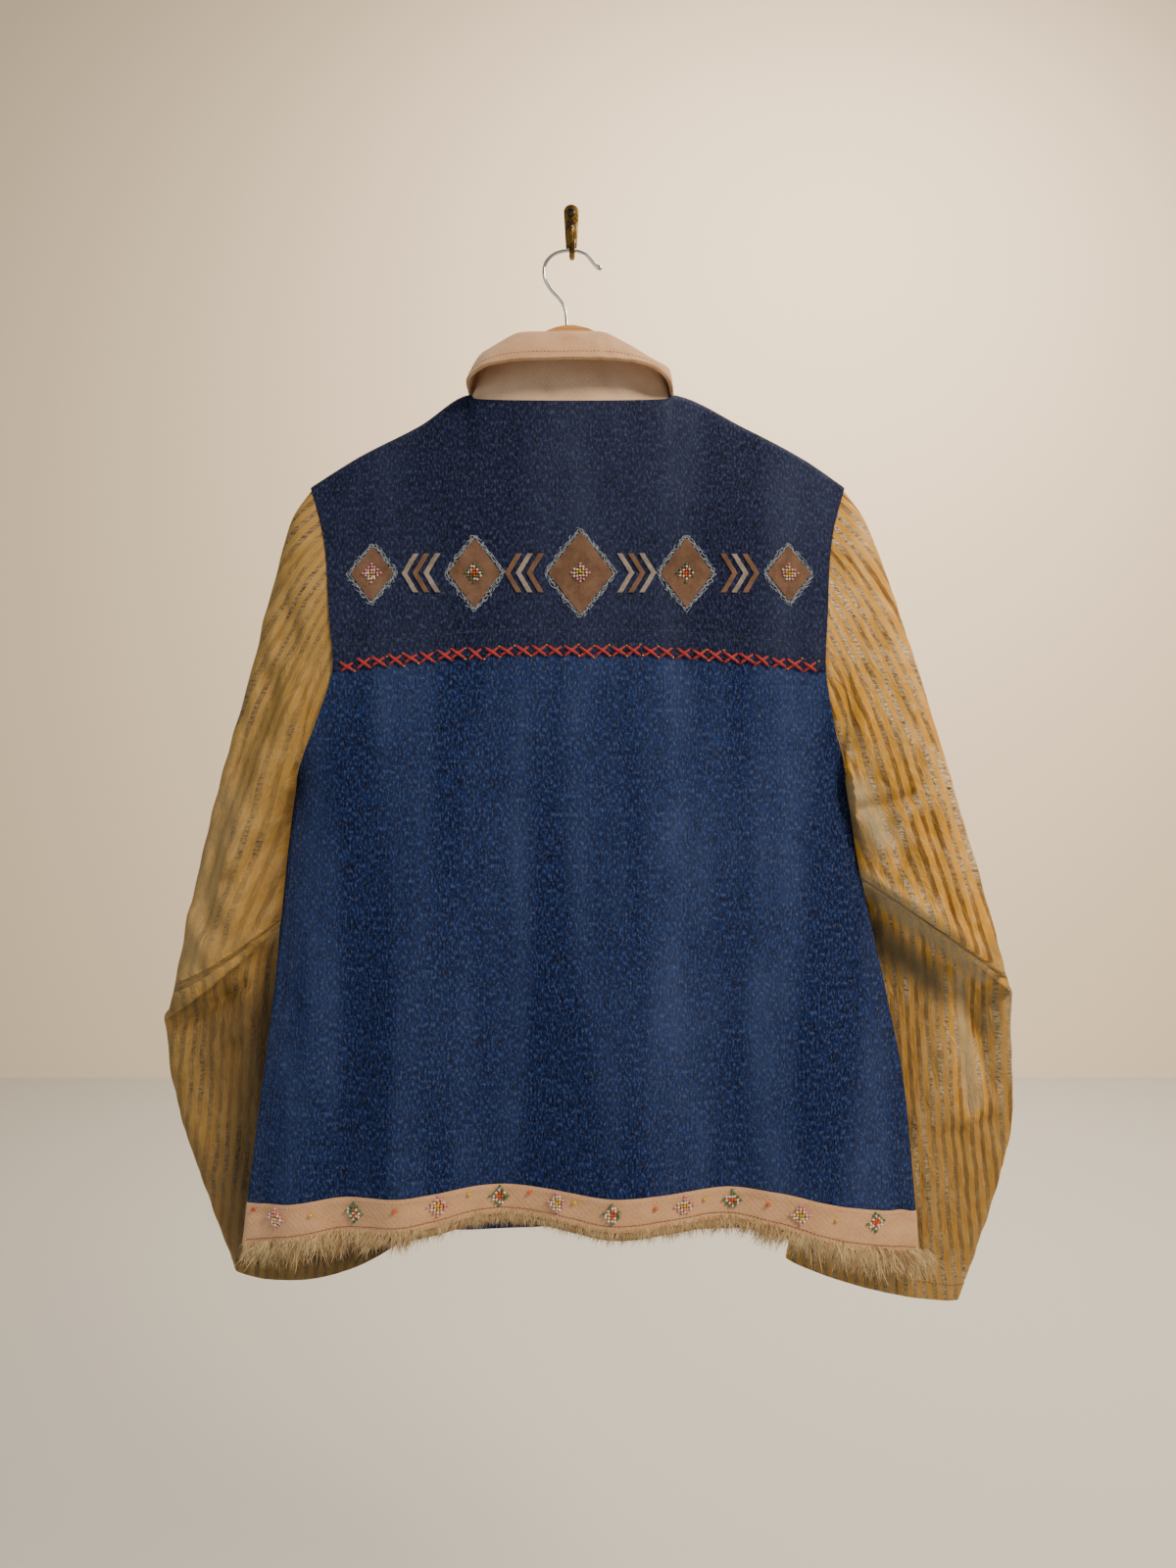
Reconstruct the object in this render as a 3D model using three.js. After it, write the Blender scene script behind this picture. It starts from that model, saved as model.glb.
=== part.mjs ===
// Denim jacket with striped velvet sleeves, hung by a wooden hanger from a small brass wall hook.
// Its back faces -Y, and its front lies towards the wall at y = 0. Lengths are millimetres.
// X runs to the right as the back is seen, Z is up, and the origin is the middle of the hook plate's back face.
import * as THREE from 'three';

const SEAM_GAP = 0.3; // between neighbouring pieces
const DENIM = 1.4; // thicknesses of the cloths
const VELVET = 1.4;
const TWILL = 1.6;
const SUEDE = 1.2;

// The armhole runs from the shoulder tip down to the underarm in ARM_STEPS steps a side.
const TIP_Z = -221;
const PIT_Z = -455;
const ARM_STEPS = 12;
const YOKE_STEP = 7; // the yoke seam meets the armhole at this step
const NECK_HALF = 80; // half the neck's width at the shoulder seams
const NECK_Z = -147;
const BACK_NECK_DROP = 15;
const FRONT_NECK_DROP = 76;
const YOKE_RISE = 14; // how far the yoke seam bows up at the middle
const PLACKET_HALF = 15; // the fronts overlap by twice this
const PLACKET_LIFT = 2.8; // the upper front lies this far over the lower one
const FRONT_HEM_Z = -812;

// Side outline of the body: x of its left and right edge at each height.
const EDGE = [
  { z: -830, left: -258, right: 273 },
  { z: -785, left: -253, right: 270 },
  { z: -689, left: -241, right: 261 },
  { z: -612, left: -232, right: 246 },
  { z: -535, left: -226, right: 230 },
  { z: -455, left: -217, right: 218 },
  { z: -436, left: -209, right: 212 },
  { z: -412, left: -197, right: 204 },
  { z: -370, left: -182, right: 196 },
  { z: -337, left: -184, right: 197 },
  { z: -274, left: -192, right: 204 },
  { z: -221, left: -207, right: 218 },
];

// Depth of the body: the seam plane, and how far the back and front stand from it.
const DEPTH = [
  { z: -830, seam: -52, back: 31, front: 15 },
  { z: -700, seam: -50, back: 34, front: 15 },
  { z: -560, seam: -46, back: 35, front: 15 },
  { z: -455, seam: -41, back: 35, front: 17 },
  { z: -330, seam: -36, back: 36, front: 18 },
  { z: -221, seam: -34, back: 36, front: 17 },
  { z: -147, seam: -34, back: 36, front: 15 },
];

// Shoulder seam: height over x, from the neck to each shoulder tip.
const SHOULDER = [
  { x: -207, z: -221 },
  { x: -167, z: -196 },
  { x: -120, z: -172 },
  { x: -80, z: -147 },
  { x: 80, z: -147 },
  { x: 139, z: -174 },
  { x: 186, z: -199 },
  { x: 218, z: -221 },
];

// Lower edge of the back: where the denim ends, and where the band below it ends.
const HEM = [
  { x: -262, denim: -786, band: -820 },
  { x: -209, denim: -779, band: -808 },
  { x: -172, denim: -773, band: -801 },
  { x: -99, denim: -767, band: -792 },
  { x: -62, denim: -763, band: -786 },
  { x: -16, denim: -764, band: -787 },
  { x: 29, denim: -768, band: -793 },
  { x: 88, denim: -766, band: -790 },
  { x: 123, denim: -765, band: -790 },
  { x: 164, denim: -769, band: -797 },
  { x: 192, denim: -775, band: -805 },
  { x: 239, denim: -786, band: -818 },
  { x: 276, denim: -792, band: -825 },
];

// Long folds that fall from the chest to the hem: x where each starts and ends, its reach and its height.
const BACK_FOLDS = [
  { top: -186, hem: -209, width: 26, height: 6 },
  { top: -140, hem: -172, width: 24, height: -5 },
  { top: -98, hem: -132, width: 32, height: 9 },
  { top: -46, hem: -54, width: 40, height: -11 },
  { top: 58, hem: 40, width: 36, height: 9 },
  { top: 112, hem: 120, width: 30, height: -10 },
  { top: 160, hem: 203, width: 30, height: 8 },
];
const FRONT_FOLDS = [
  { top: -120, hem: -160, width: 30, height: 5 },
  { top: -60, hem: -84, width: 28, height: -5 },
  { top: 70, hem: 88, width: 28, height: -5 },
  { top: 130, hem: 172, width: 30, height: 5 },
];
const FOLD_START = -400;
const FOLD_RUN = 330;

// Sleeve rings below the armhole. Each lies between an outer and an inner point; y is its middle plane,
// back and front its depth to either side, bow its sag past the straight line, and lift the upward tuck
// of its back half, which makes the fold over the forearm.
const LEFT_SLEEVE = [
  { ox: -221, oz: -250, ix: -221, iz: -460, y: -38, back: 35, front: 17, bow: -24, lift: 0 },
  { ox: -234, oz: -301, ix: -224, iz: -470, y: -40, back: 34, front: 18, bow: -14, lift: 0 },
  { ox: -250, oz: -364, ix: -227, iz: -484, y: -40, back: 32, front: 19, bow: -6, lift: 0 },
  { ox: -268, oz: -426, ix: -229, iz: -500, y: -39, back: 30, front: 20, bow: 0, lift: 0 },
  { ox: -283, oz: -481, ix: -231, iz: -522, y: -38, back: 30, front: 21, bow: 2, lift: 0 },
  { ox: -296, oz: -536, ix: -233, iz: -541, y: -37, back: 31, front: 22, bow: 4, lift: 0 },
  { ox: -309, oz: -592, ix: -236, iz: -556, y: -34, back: 32, front: 20, bow: 6, lift: 0 },
  { ox: -321, oz: -640, ix: -238, iz: -566, y: -30, back: 32, front: 18, bow: 8, lift: 0 },
  { ox: -324, oz: -646, ix: -239, iz: -571, y: -27, back: 24, front: 17, bow: 8, lift: 10 },
  { ox: -326, oz: -653, ix: -238, iz: -580, y: -23, back: 15, front: 15, bow: 6, lift: 12 },
  { ox: -327, oz: -664, ix: -232, iz: -600, y: -19, back: 14, front: 13, bow: 3, lift: 0 },
  { ox: -323, oz: -698, ix: -214, iz: -640, y: -17, back: 13, front: 13, bow: 2, lift: 0 },
  { ox: -314, oz: -738, ix: -192, iz: -690, y: -16, back: 12, front: 12, bow: 2, lift: 0 },
  { ox: -299, oz: -782, ix: -168, iz: -742, y: -15, back: 11, front: 11, bow: 2, lift: 0 },
  { ox: -283, oz: -824, ix: -146, iz: -790, y: -15, back: 11, front: 11, bow: 4, lift: 0 },
  { ox: -273, oz: -853, ix: -131, iz: -823, y: -15, back: 11, front: 11, bow: 9, lift: 0 },
];
const RIGHT_SLEEVE = [
  { ox: 233, oz: -250, ix: 222, iz: -460, y: -38, back: 35, front: 17, bow: -16, lift: 0 },
  { ox: 252, oz: -301, ix: 225, iz: -470, y: -40, back: 34, front: 18, bow: -10, lift: 0 },
  { ox: 268, oz: -350, ix: 227, iz: -482, y: -40, back: 33, front: 19, bow: -4, lift: 0 },
  { ox: 287, oz: -410, ix: 229, iz: -494, y: -39, back: 32, front: 20, bow: 0, lift: 0 },
  { ox: 307, oz: -476, ix: 231, iz: -506, y: -38, back: 32, front: 21, bow: 2, lift: 0 },
  { ox: 327, oz: -543, ix: 233, iz: -517, y: -37, back: 33, front: 22, bow: 3, lift: 0 },
  { ox: 342, oz: -596, ix: 235, iz: -525, y: -34, back: 34, front: 20, bow: 3, lift: 0 },
  { ox: 350, oz: -622, ix: 236, iz: -530, y: -30, back: 33, front: 18, bow: 2, lift: 0 },
  { ox: 352, oz: -627, ix: 237, iz: -535, y: -27, back: 24, front: 17, bow: 2, lift: 10 },
  { ox: 354, oz: -634, ix: 238, iz: -544, y: -23, back: 15, front: 15, bow: 2, lift: 12 },
  { ox: 356, oz: -648, ix: 234, iz: -566, y: -19, back: 14, front: 13, bow: 1, lift: 0 },
  { ox: 358, oz: -690, ix: 222, iz: -618, y: -17, back: 13, front: 13, bow: 1, lift: 0 },
  { ox: 358, oz: -735, ix: 210, iz: -680, y: -16, back: 12, front: 12, bow: 2, lift: 0 },
  { ox: 346, oz: -786, ix: 196, iz: -742, y: -15, back: 11, front: 11, bow: 3, lift: 0 },
  { ox: 329, oz: -838, ix: 184, iz: -800, y: -15, back: 11, front: 11, bow: 4, lift: 0 },
  { ox: 315, oz: -877, ix: 176, iz: -844, y: -15, back: 11, front: 11, bow: 5, lift: 0 },
];

// The left sleeve's forearm starts at this ring, with a gap of 0.35 mm.
const ELBOW_RING = 7;
const ELBOW_GAP = 0.35;
// Lengthwise creases of the sleeves: where round the back half they lie (0 outer edge, 1 inner edge),
// the rings they run between, their reach round the arm and their height.
const LEFT_CREASES = [
  { start: 0.62, end: 0.44, from: 1, to: 7, width: 0.1, height: 6 },
  { start: 0.4, end: 0.3, from: 1, to: 7, width: 0.1, height: -5 },
  { start: 0.34, end: 0.42, from: 10, to: 15, width: 0.1, height: -4 },
];
const RIGHT_CREASES = [
  { start: 0.3, end: 0.36, from: 1, to: 7, width: 0.11, height: 4 },
  { start: 0.78, end: 0.7, from: 3, to: 7, width: 0.09, height: -5 },
  { start: 0.3, end: 0.26, from: 10, to: 14, width: 0.09, height: -4 },
];

// Geometric border on the yoke: lozenges, with stacks of nested chevrons between them.
const BORDER_Z = -296;
const LOZENGES = [
  { x: -152, halfWidth: 17, halfHeight: 22 },
  { x: -73, halfWidth: 20, halfHeight: 27 },
  { x: 8, halfWidth: 25, halfHeight: 32 },
  { x: 89, halfWidth: 20, halfHeight: 27 },
  { x: 168, halfWidth: 17, halfHeight: 22 },
];
const PATCH_EASE = 0.6; // extra height of the suede over the cloth
const CHEVRONS_A_STACK = 3;
const CHEVRON = { halfHeight: 15, reach: 9, width: 3.2, pitch: 8.4 };

const clamp = (t) => Math.min(Math.max(t, 0), 1);
const smooth = (t) => clamp(t) * clamp(t) * (3 - 2 * clamp(t));
const mix = (a, b, t) => a + (b - a) * t;
const bump = (distance, width) => Math.exp(-((distance / width) ** 2));
const rounded = (distance, radius) => Math.sqrt(1 - (1 - clamp(distance / radius)) ** 2);

// Smooth value of a table's column at a place along its key column.
function lookUp(rows, key, column, at) {
  const last = rows.length - 1;
  const rising = rows[last][key] > rows[0][key];
  let i = 0;
  while (i < last - 1 && (rising ? at > rows[i + 1][key] : at < rows[i + 1][key])) i += 1;
  const [a, b] = [rows[i], rows[i + 1]];
  const span = b[key] - a[key];
  const t = clamp((at - a[key]) / span);
  const slope = (p, q) => (q[column] - p[column]) / (q[key] - p[key]);
  const m0 = i > 0 ? slope(rows[i - 1], b) : slope(a, b);
  const m1 = i + 2 <= last ? slope(a, rows[i + 2]) : slope(a, b);
  const [t2, t3] = [t * t, t * t * t];
  return (2 * t3 - 3 * t2 + 1) * a[column] + (t3 - 2 * t2 + t) * span * m0
    + (3 * t2 - 2 * t3) * b[column] + (t3 - t2) * span * m1;
}

const armholeZ = (step) => mix(TIP_Z, PIT_Z, (1 - Math.cos((Math.PI * step) / ARM_STEPS)) / 2);
const YOKE_END_Z = armholeZ(YOKE_STEP);
const edgeX = (side, z) => lookUp(EDGE, 'z', side, z);

// How much of the full depth the body keeps at its armhole edge, 0 at the tip and the underarm.
// Away from the edge both ends fade out gradually.
function armholeFullness(z, toEdge) {
  const soft = (height) => (height + Math.hypot(height, 1.1 * toEdge)) / 2;
  const share = (height) => Math.sin((Math.PI / 2) * clamp((2 * soft(height)) / (TIP_Z - PIT_Z)));
  return (share(z - PIT_Z) * share(TIP_Z - z)) ** 0.6;
}

const neckDip = (x) => Math.sqrt(Math.max(1 - (x / NECK_HALF) ** 2, 0));

// Top edge of the back or the front: the shoulder seam, and the neckline between its two ends.
function topZ(face, x) {
  if (Math.abs(x) < NECK_HALF) {
    return NECK_Z - (face === 'back' ? BACK_NECK_DROP * neckDip(x) ** 0.6 : FRONT_NECK_DROP * neckDip(x) ** 1.3);
  }
  return lookUp(SHOULDER, 'x', 'z', x);
}
const yokeZ = (x) => YOKE_END_Z + YOKE_RISE * (1 - (Math.min(Math.abs(x - 6), 190) / 190) ** 2);

function folds(table, x, z) {
  const run = smooth((FOLD_START - z) / FOLD_RUN);
  let height = 0;
  for (const fold of table) {
    height += fold.height * bump(x - mix(fold.top, fold.hem, run), fold.width);
  }
  return height * run;
}

// Distance of the back or front from the seam plane at a place on the body.
function standOff(face, x, z) {
  const left = edgeX('left', z);
  const right = edgeX('right', z);
  const toEdge = Math.max(Math.min(x - left, right - x), 0);
  const toTop = Math.max(topZ(face, x) - z, 0);
  const full = lookUp(DEPTH, 'z', face, z);
  const kept = armholeFullness(z, toEdge);
  const lens = 1 - (1 - clamp(toEdge / ((right - left) / 2))) ** 2.6;
  const side = kept + (1 - kept) * lens;
  const atNeck = face === 'back' ? 0.85 * neckDip(x) ** 0.7 : 0.75 * neckDip(x) ** 0.35;
  const drop = 1 - (1 - clamp(toTop / 150)) ** 2;
  const top = atNeck + (1 - atNeck) * drop;
  const seamRound = 3 * Math.max(rounded(toEdge, 3.5), clamp(kept * 3)) * Math.max(rounded(toTop, 8), atNeck);
  const hangerRound = 5.5 * rounded(toTop, 8) * smooth((z + 300) / 60) * (1 - atNeck);
  const fade = smooth(toEdge / 40);
  const wave = folds(face === 'back' ? BACK_FOLDS : FRONT_FOLDS, x, z) * fade;
  return SEAM_GAP / 2 + seamRound + hangerRound + full * side * top + wave;
}

function bodyPoint(face, x, z, out = 0) {
  const away = face === 'back' ? -1 : 1;
  return new THREE.Vector3(x, lookUp(DEPTH, 'z', 'seam', z) + away * (standOff(face, x, z) + out), z);
}

// Keeps a point on its own side of the seam plane.
function heldOff(face, point) {
  const seam = lookUp(DEPTH, 'z', 'seam', point.z);
  if (face === 'back') point.y = Math.min(point.y, seam - SEAM_GAP / 2);
  else point.y = Math.max(point.y, seam + SEAM_GAP / 2);
  return point;
}

// A closed wall round a grid of middle points: rows run across it, or round it where it is a tube.
// firstEnd can give the outer and inner points of the first row, and face the side of the body it stays on.
// before and after are rows past the two ends, where the same cloth goes on in another piece.
function cloth(name, rows, thickness, material, { tube = false, firstEnd = null, face = null, before = null, after = null } = {}) {
  const nv = rows.length;
  const nu = rows[0].length;
  const row = (j) => (j < 0 && before) || (j >= nv && after) || rows[Math.min(Math.max(j, 0), nv - 1)];
  const at = (j, i) => row(j)[tube ? (i + nu) % nu : Math.min(Math.max(i, 0), nu - 1)];
  const position = [];
  for (const sign of [1, -1]) {
    for (let j = 0; j < nv; j += 1) {
      for (let i = 0; i < nu; i += 1) {
        const across = at(j, i + 1).clone().sub(at(j, i - 1));
        const up = at(j + 1, i).clone().sub(at(j - 1, i));
        const normal = across.cross(up).normalize();
        let point = at(j, i).clone().addScaledVector(normal, (sign * thickness) / 2);
        if (firstEnd && j === 0) point = firstEnd[sign > 0 ? 'outer' : 'inner'][i];
        if (face) heldOff(face, point);
        position.push(point.x, point.y, point.z);
      }
    }
  }
  const index = [];
  const vertex = (side, j, i) => side * nv * nu + j * nu + (tube ? i % nu : i);
  const quad = (a, b, c, d) => index.push(a, b, c, a, c, d);
  const columns = tube ? nu : nu - 1;
  for (let j = 0; j < nv - 1; j += 1) {
    for (let i = 0; i < columns; i += 1) {
      quad(vertex(0, j, i), vertex(0, j, i + 1), vertex(0, j + 1, i + 1), vertex(0, j + 1, i));
      quad(vertex(1, j, i), vertex(1, j + 1, i), vertex(1, j + 1, i + 1), vertex(1, j, i + 1));
    }
  }
  for (let i = 0; i < columns; i += 1) {
    quad(vertex(0, 0, i), vertex(1, 0, i), vertex(1, 0, i + 1), vertex(0, 0, i + 1));
    quad(vertex(0, nv - 1, i), vertex(0, nv - 1, i + 1), vertex(1, nv - 1, i + 1), vertex(1, nv - 1, i));
  }
  for (let j = 0; !tube && j < nv - 1; j += 1) {
    quad(vertex(0, j, 0), vertex(0, j + 1, 0), vertex(1, j + 1, 0), vertex(1, j, 0));
    quad(vertex(0, j, nu - 1), vertex(1, j, nu - 1), vertex(1, j + 1, nu - 1), vertex(0, j + 1, nu - 1));
  }
  const geometry = new THREE.BufferGeometry();
  geometry.setAttribute('position', new THREE.Float32BufferAttribute(position, 3));
  geometry.setIndex(index);
  geometry.computeVertexNormals();
  const mesh = new THREE.Mesh(geometry, material);
  mesh.name = name;
  mesh.userData = { position, nu, nv };
  return mesh;
}

const finish = (color, roughness, metalness = 0) => new THREE.MeshStandardMaterial({ color, roughness, metalness });
const MATERIAL = {
  denim: finish(0x2b3f66, 0.9),
  velvet: finish(0xb8934a, 0.7),
  twill: finish(0xc19c84, 0.9),
  fur: finish(0xd3b684, 0.95),
  brownSuede: finish(0x7d5f4c, 0.95),
  greySuede: finish(0xa59f9d, 0.95),
  wood: finish(0xc08a4e, 0.45),
  chrome: finish(0xd8d8da, 0.15, 1),
  brass: finish(0x8f7338, 0.35, 1),
  steel: finish(0x3a3630, 0.5, 1),
  button: finish(0x8a6a46, 0.35, 1),
};

// Columns across the body: close together at both side edges and even over the neck.
const SIDE_COLUMNS = 10;
const NECK_COLUMNS = 10;
const COLUMNS = 2 * SIDE_COLUMNS + NECK_COLUMNS;
const EDGE_SPACING = 1.9;
function columnX(i, left, right) {
  if (i <= SIDE_COLUMNS) return mix(left, -NECK_HALF, (i / SIDE_COLUMNS) ** EDGE_SPACING);
  const last = (COLUMNS - i) / SIDE_COLUMNS;
  if (last <= 1) return mix(right, NECK_HALF, last ** EDGE_SPACING);
  return mix(-NECK_HALF, NECK_HALF, (i - SIDE_COLUMNS) / NECK_COLUMNS);
}

// Rows up the body. Below the underarm a row is a share of the side seam, above it a step of the armhole.
const SEAM_ROWS = 13;
const belowPit = Array.from({ length: SEAM_ROWS }, (_, j) => ({ share: j / SEAM_ROWS }));
const armholeRows = (from, to) => Array.from({ length: from - to + 1 }, (_, j) => ({ step: from - j }));

function rowZ(row, x, bottom, upper, upperEnd) {
  if ('share' in row) return mix(bottom(x), PIT_Z, row.share);
  return mix(PIT_Z, upper(x), (armholeZ(row.step) - PIT_Z) / (upperEnd - PIT_Z));
}

// Points of one row: z is worked out for each column from the row's own rule.
function bodyRow(face, columns, edgeZ, zAt, out = 0) {
  const [left, right] = [edgeX('left', edgeZ), edgeX('right', edgeZ)];
  return columns.map((i) => {
    const x = columnX(i, left, right);
    return bodyPoint(face, x, zAt(x), out);
  });
}
const allColumns = Array.from({ length: COLUMNS + 1 }, (_, i) => i);
const denimEndZ = (x) => lookUp(HEM, 'x', 'denim', x);
const bandEndZ = (x) => lookUp(HEM, 'x', 'band', x);

function rowEdgeZ(row, bottomEdge) {
  return 'share' in row ? mix(bottomEdge, PIT_Z, row.share) : armholeZ(row.step);
}

function makeLowerBack() {
  const rows = [...belowPit, ...armholeRows(ARM_STEPS, YOKE_STEP)].map((row) => bodyRow(
    'back', allColumns, rowEdgeZ(row, -788),
    (x) => rowZ(row, x, denimEndZ, (at) => yokeZ(at) - SEAM_GAP, YOKE_END_Z),
  ));
  return cloth('back_lower', rows, DENIM, MATERIAL.denim, { face: 'back' });
}

function makeYoke() {
  const rows = armholeRows(YOKE_STEP, 0).map((row) => {
    const edgeZ = armholeZ(row.step);
    const share = (edgeZ - YOKE_END_Z) / (TIP_Z - YOKE_END_Z);
    return bodyRow('back', allColumns, edgeZ, (x) => mix(yokeZ(x), topZ('back', x), share));
  });
  return cloth('back_yoke', rows, DENIM, MATERIAL.denim, { face: 'back' });
}

// The fronts run from a side edge past the middle; the left one lies over the right one.
function makeFront(side) {
  const upper = side === 'left';
  const reach = upper ? PLACKET_HALF : -PLACKET_HALF;
  const step = upper ? 1 : -1;
  const steps = Array.from({ length: SIDE_COLUMNS + 6 }, (_, i) => i);
  const rows = [...belowPit, ...armholeRows(ARM_STEPS, 0)].map((row) => {
    const edgeZ = rowEdgeZ(row, -816);
    const edge = edgeX(side, edgeZ);
    const points = steps.map((i) => {
      const neck = -step * NECK_HALF;
      const x = i <= SIDE_COLUMNS ? mix(edge, neck, (i / SIDE_COLUMNS) ** EDGE_SPACING)
        : mix(neck, reach, (i - SIDE_COLUMNS) / 5);
      const z = rowZ(row, x, () => FRONT_HEM_Z, (at) => topZ('front', at), TIP_Z);
      const over = smooth((36 - Math.abs(x)) / 16) * PLACKET_LIFT * (upper ? 0.5 : -0.5);
      return bodyPoint('front', x, z, over);
    });
    return upper ? points.reverse() : points;
  });
  return cloth(`front_${side}`, rows, DENIM, MATERIAL.denim, { face: 'front' });
}

function edgePoints(mesh, sheet, column, row) {
  const { position, nu, nv } = mesh.userData;
  const n = 3 * (sheet * nu * nv + row * nu + column);
  return new THREE.Vector3(position[n], position[n + 1], position[n + 2]);
}

// The armhole's outer and inner loops, read off the edges of the panels round it and moved out by the seam gap.
function armholeLoop(side, yoke, lower, front) {
  const outward = side === 'left' ? -1 : 1;
  const loop = { outer: [], inner: [] };
  const mirror = side === 'left' ? 0 : COLUMNS;
  const frontColumn = side === 'left' ? front.userData.nu - 1 : 0;
  for (const [key, sheet] of [['outer', 0], ['inner', 1]]) {
    const back = (step) => (step <= YOKE_STEP
      ? edgePoints(yoke, sheet, mirror, YOKE_STEP - step)
      : edgePoints(lower, sheet, mirror, SEAM_ROWS + ARM_STEPS - step));
    const face = (step) => edgePoints(front, sheet, frontColumn, SEAM_ROWS + ARM_STEPS - step);
    for (let k = 0; k < 2 * ARM_STEPS; k += 1) {
      const step = k <= ARM_STEPS ? k : 2 * ARM_STEPS - k;
      let point = k <= ARM_STEPS ? back(step) : face(step);
      if (step === 0 || step === ARM_STEPS) point = back(step).add(face(step)).multiplyScalar(0.5);
      point.x += outward * (SEAM_GAP + (step === 0 ? 0.6 : 0));
      if (step >= ARM_STEPS - 1) point.x += outward * 0.5;
      if (step >= ARM_STEPS - 1) point.z += step === ARM_STEPS ? 2.6 : 1.2;
      loop[key].push(point);
    }
  }
  return loop;
}

// One sleeve ring's middle point at an angle: 0 at the outer edge, half a turn at the inner edge.
function ringPoint(ring, angle, side) {
  const across = Math.cos(angle);
  const around = Math.sin(angle);
  const along = new THREE.Vector2(ring.ox - ring.ix, ring.oz - ring.iz);
  const down = new THREE.Vector2(along.y, -along.x).normalize().multiplyScalar(side === 'left' ? -1 : 1);
  const depth = Math.abs(around) ** 0.85 * (around > 0 ? -ring.back : ring.front);
  const sag = ring.bow * (1 - across * across) - (around > 0 ? ring.lift * around : 0);
  return new THREE.Vector3(
    mix(ring.ix, ring.ox, (1 + across) / 2) + down.x * sag,
    ring.y + depth,
    mix(ring.iz, ring.oz, (1 + across) / 2) + down.y * sag,
  );
}

function creaseHeight(creases, at, angle) {
  const round = angle / Math.PI;
  let height = 0;
  for (const c of creases) {
    const run = clamp((at - c.from) / (c.to - c.from));
    const ends = smooth((at - c.from) / 1.2) * smooth((c.to - at) / 0.8);
    height += c.height * ends * bump(round - mix(c.start, c.end, run), c.width);
  }
  return height;
}

function makeSleeve(side, rings, creases, loop) {
  const ANGLES = 2 * ARM_STEPS;
  const middle = loop.outer.map((p, k) => p.clone().add(loop.inner[k]).multiplyScalar(0.5));
  const sign = side === 'left' ? 1 : -1;
  const rows = [middle];
  rings.forEach((ring, r) => {
    const points = [];
    for (let k = 0; k < ANGLES; k += 1) {
      const angle = (2 * Math.PI * k) / ANGLES;
      const point = ringPoint(ring, angle, side);
      point.y -= creaseHeight(creases, r + 1, angle);
      points.push(point);
    }
    rows.push(points);
  });
  // half-way rows where the rings lie far apart
  const dense = [];
  let cut = 0;
  for (let r = 0; r < rows.length; r += 1) {
    if (r === ELBOW_RING) cut = dense.length;
    dense.push(rows[r]);
    const next = rows[r + 1];
    if (next && r > 0 && next[0].distanceTo(rows[r][0]) > 35) {
      const [before, after] = [rows[r - 1], rows[Math.min(r + 2, rows.length - 1)]];
      dense.push(rows[r].map((p, k) => p.clone().add(next[k]).multiplyScalar(0.5625)
        .addScaledVector(before[k], -0.0625).addScaledVector(after[k], -0.0625)));
    }
  }
  const turn = (row) => (sign > 0 ? row : [row[0], ...row.slice(1).reverse()]);
  const firstEnd = { outer: turn(loop.outer), inner: turn(loop.inner) };
  const all = dense.map(turn);
  if (side === 'right') return [cloth('sleeve_right', all, VELVET, MATERIAL.velvet, { tube: true, firstEnd })];
  // the left sleeve bends more: its forearm is a piece of its own, a seam's gap below the upper arm
  const seam = all[cut].map((p, k) => p.clone().add(all[cut + 1][k].clone().sub(p).setLength(ELBOW_GAP)));
  return [
    cloth('sleeve_left', all.slice(0, cut + 1), VELVET, MATERIAL.velvet, { tube: true, firstEnd, after: all[cut + 1] }),
    cloth('sleeve_left_forearm', [seam, ...all.slice(cut + 1)], VELVET, MATERIAL.velvet, { tube: true, before: all[cut - 1] }),
  ];
}

function makeBand() {
  const rows = [0, 0.5, 1].map((share) => bodyRow('back', allColumns, mix(-822, -789, share),
    (x) => mix(bandEndZ(x), denimEndZ(x) - SEAM_GAP, share)));
  return cloth('hem_band', rows, TWILL, MATERIAL.twill, { face: 'back' });
}

// The fur edging's plain form, hanging from the band and thick with hair.
const FUR_THICK = 8;
function makeFur() {
  const depth = (x) => 15 + 9 * smooth((Math.abs(x) - 90) / 110);
  const rows = [0, 0.5, 1].map((share) => bodyRow('back', allColumns, mix(-846, -823, share),
    (x) => mix(bandEndZ(x) - depth(x), bandEndZ(x) - SEAM_GAP, share), mix(3, 3.4, share)));
  return cloth('fur_edging', rows.map((row) => row.slice(1, -1)), FUR_THICK, MATERIAL.fur, { face: 'back' });
}

// The neck seam all round, from the middle front round the left side, the back and the right side.
const neckTurn = (share) => 2 * Math.PI * share;
function neckPoint(share) {
  const x = -NECK_HALF * Math.sin(neckTurn(share));
  const face = Math.cos(neckTurn(share)) < 0 ? 'back' : 'front';
  const held = Math.sign(x) * Math.min(Math.abs(x), NECK_HALF - 0.01);
  return bodyPoint(face, held, topZ(face, held));
}
const backness = (share) => -Math.cos(neckTurn(share));

// The fold sinks towards the shoulders, most of all on the right, where it hangs low over the hanger.
const RIGHT_DROOP = 0.58;
const LEFT_DROOP = 0.32;
function collarDroop(share) {
  const x = -Math.sin(neckTurn(share));
  const droop = x > 0 ? RIGHT_DROOP * smooth((x - 0.35) / 0.75) : LEFT_DROOP * smooth((-x - 0.6) / 0.5);
  return droop * (1 - smooth(-backness(share) * 1.4));
}

function collarFold(share) {
  const seam = neckPoint(share);
  const back = backness(share);
  const droop = collarDroop(share);
  const lean = mix(mix(0.08, 0.33, smooth(back + 0.9)), 0.1, droop / RIGHT_DROOP);
  const rise = (mix(9, 46, smooth((back + 1) / 1.25)) + 6 * smooth(back)) * (1 - droop);
  return new THREE.Vector3(seam.x * (1 - lean), mix(seam.y, -38, lean), seam.z + rise);
}

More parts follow.
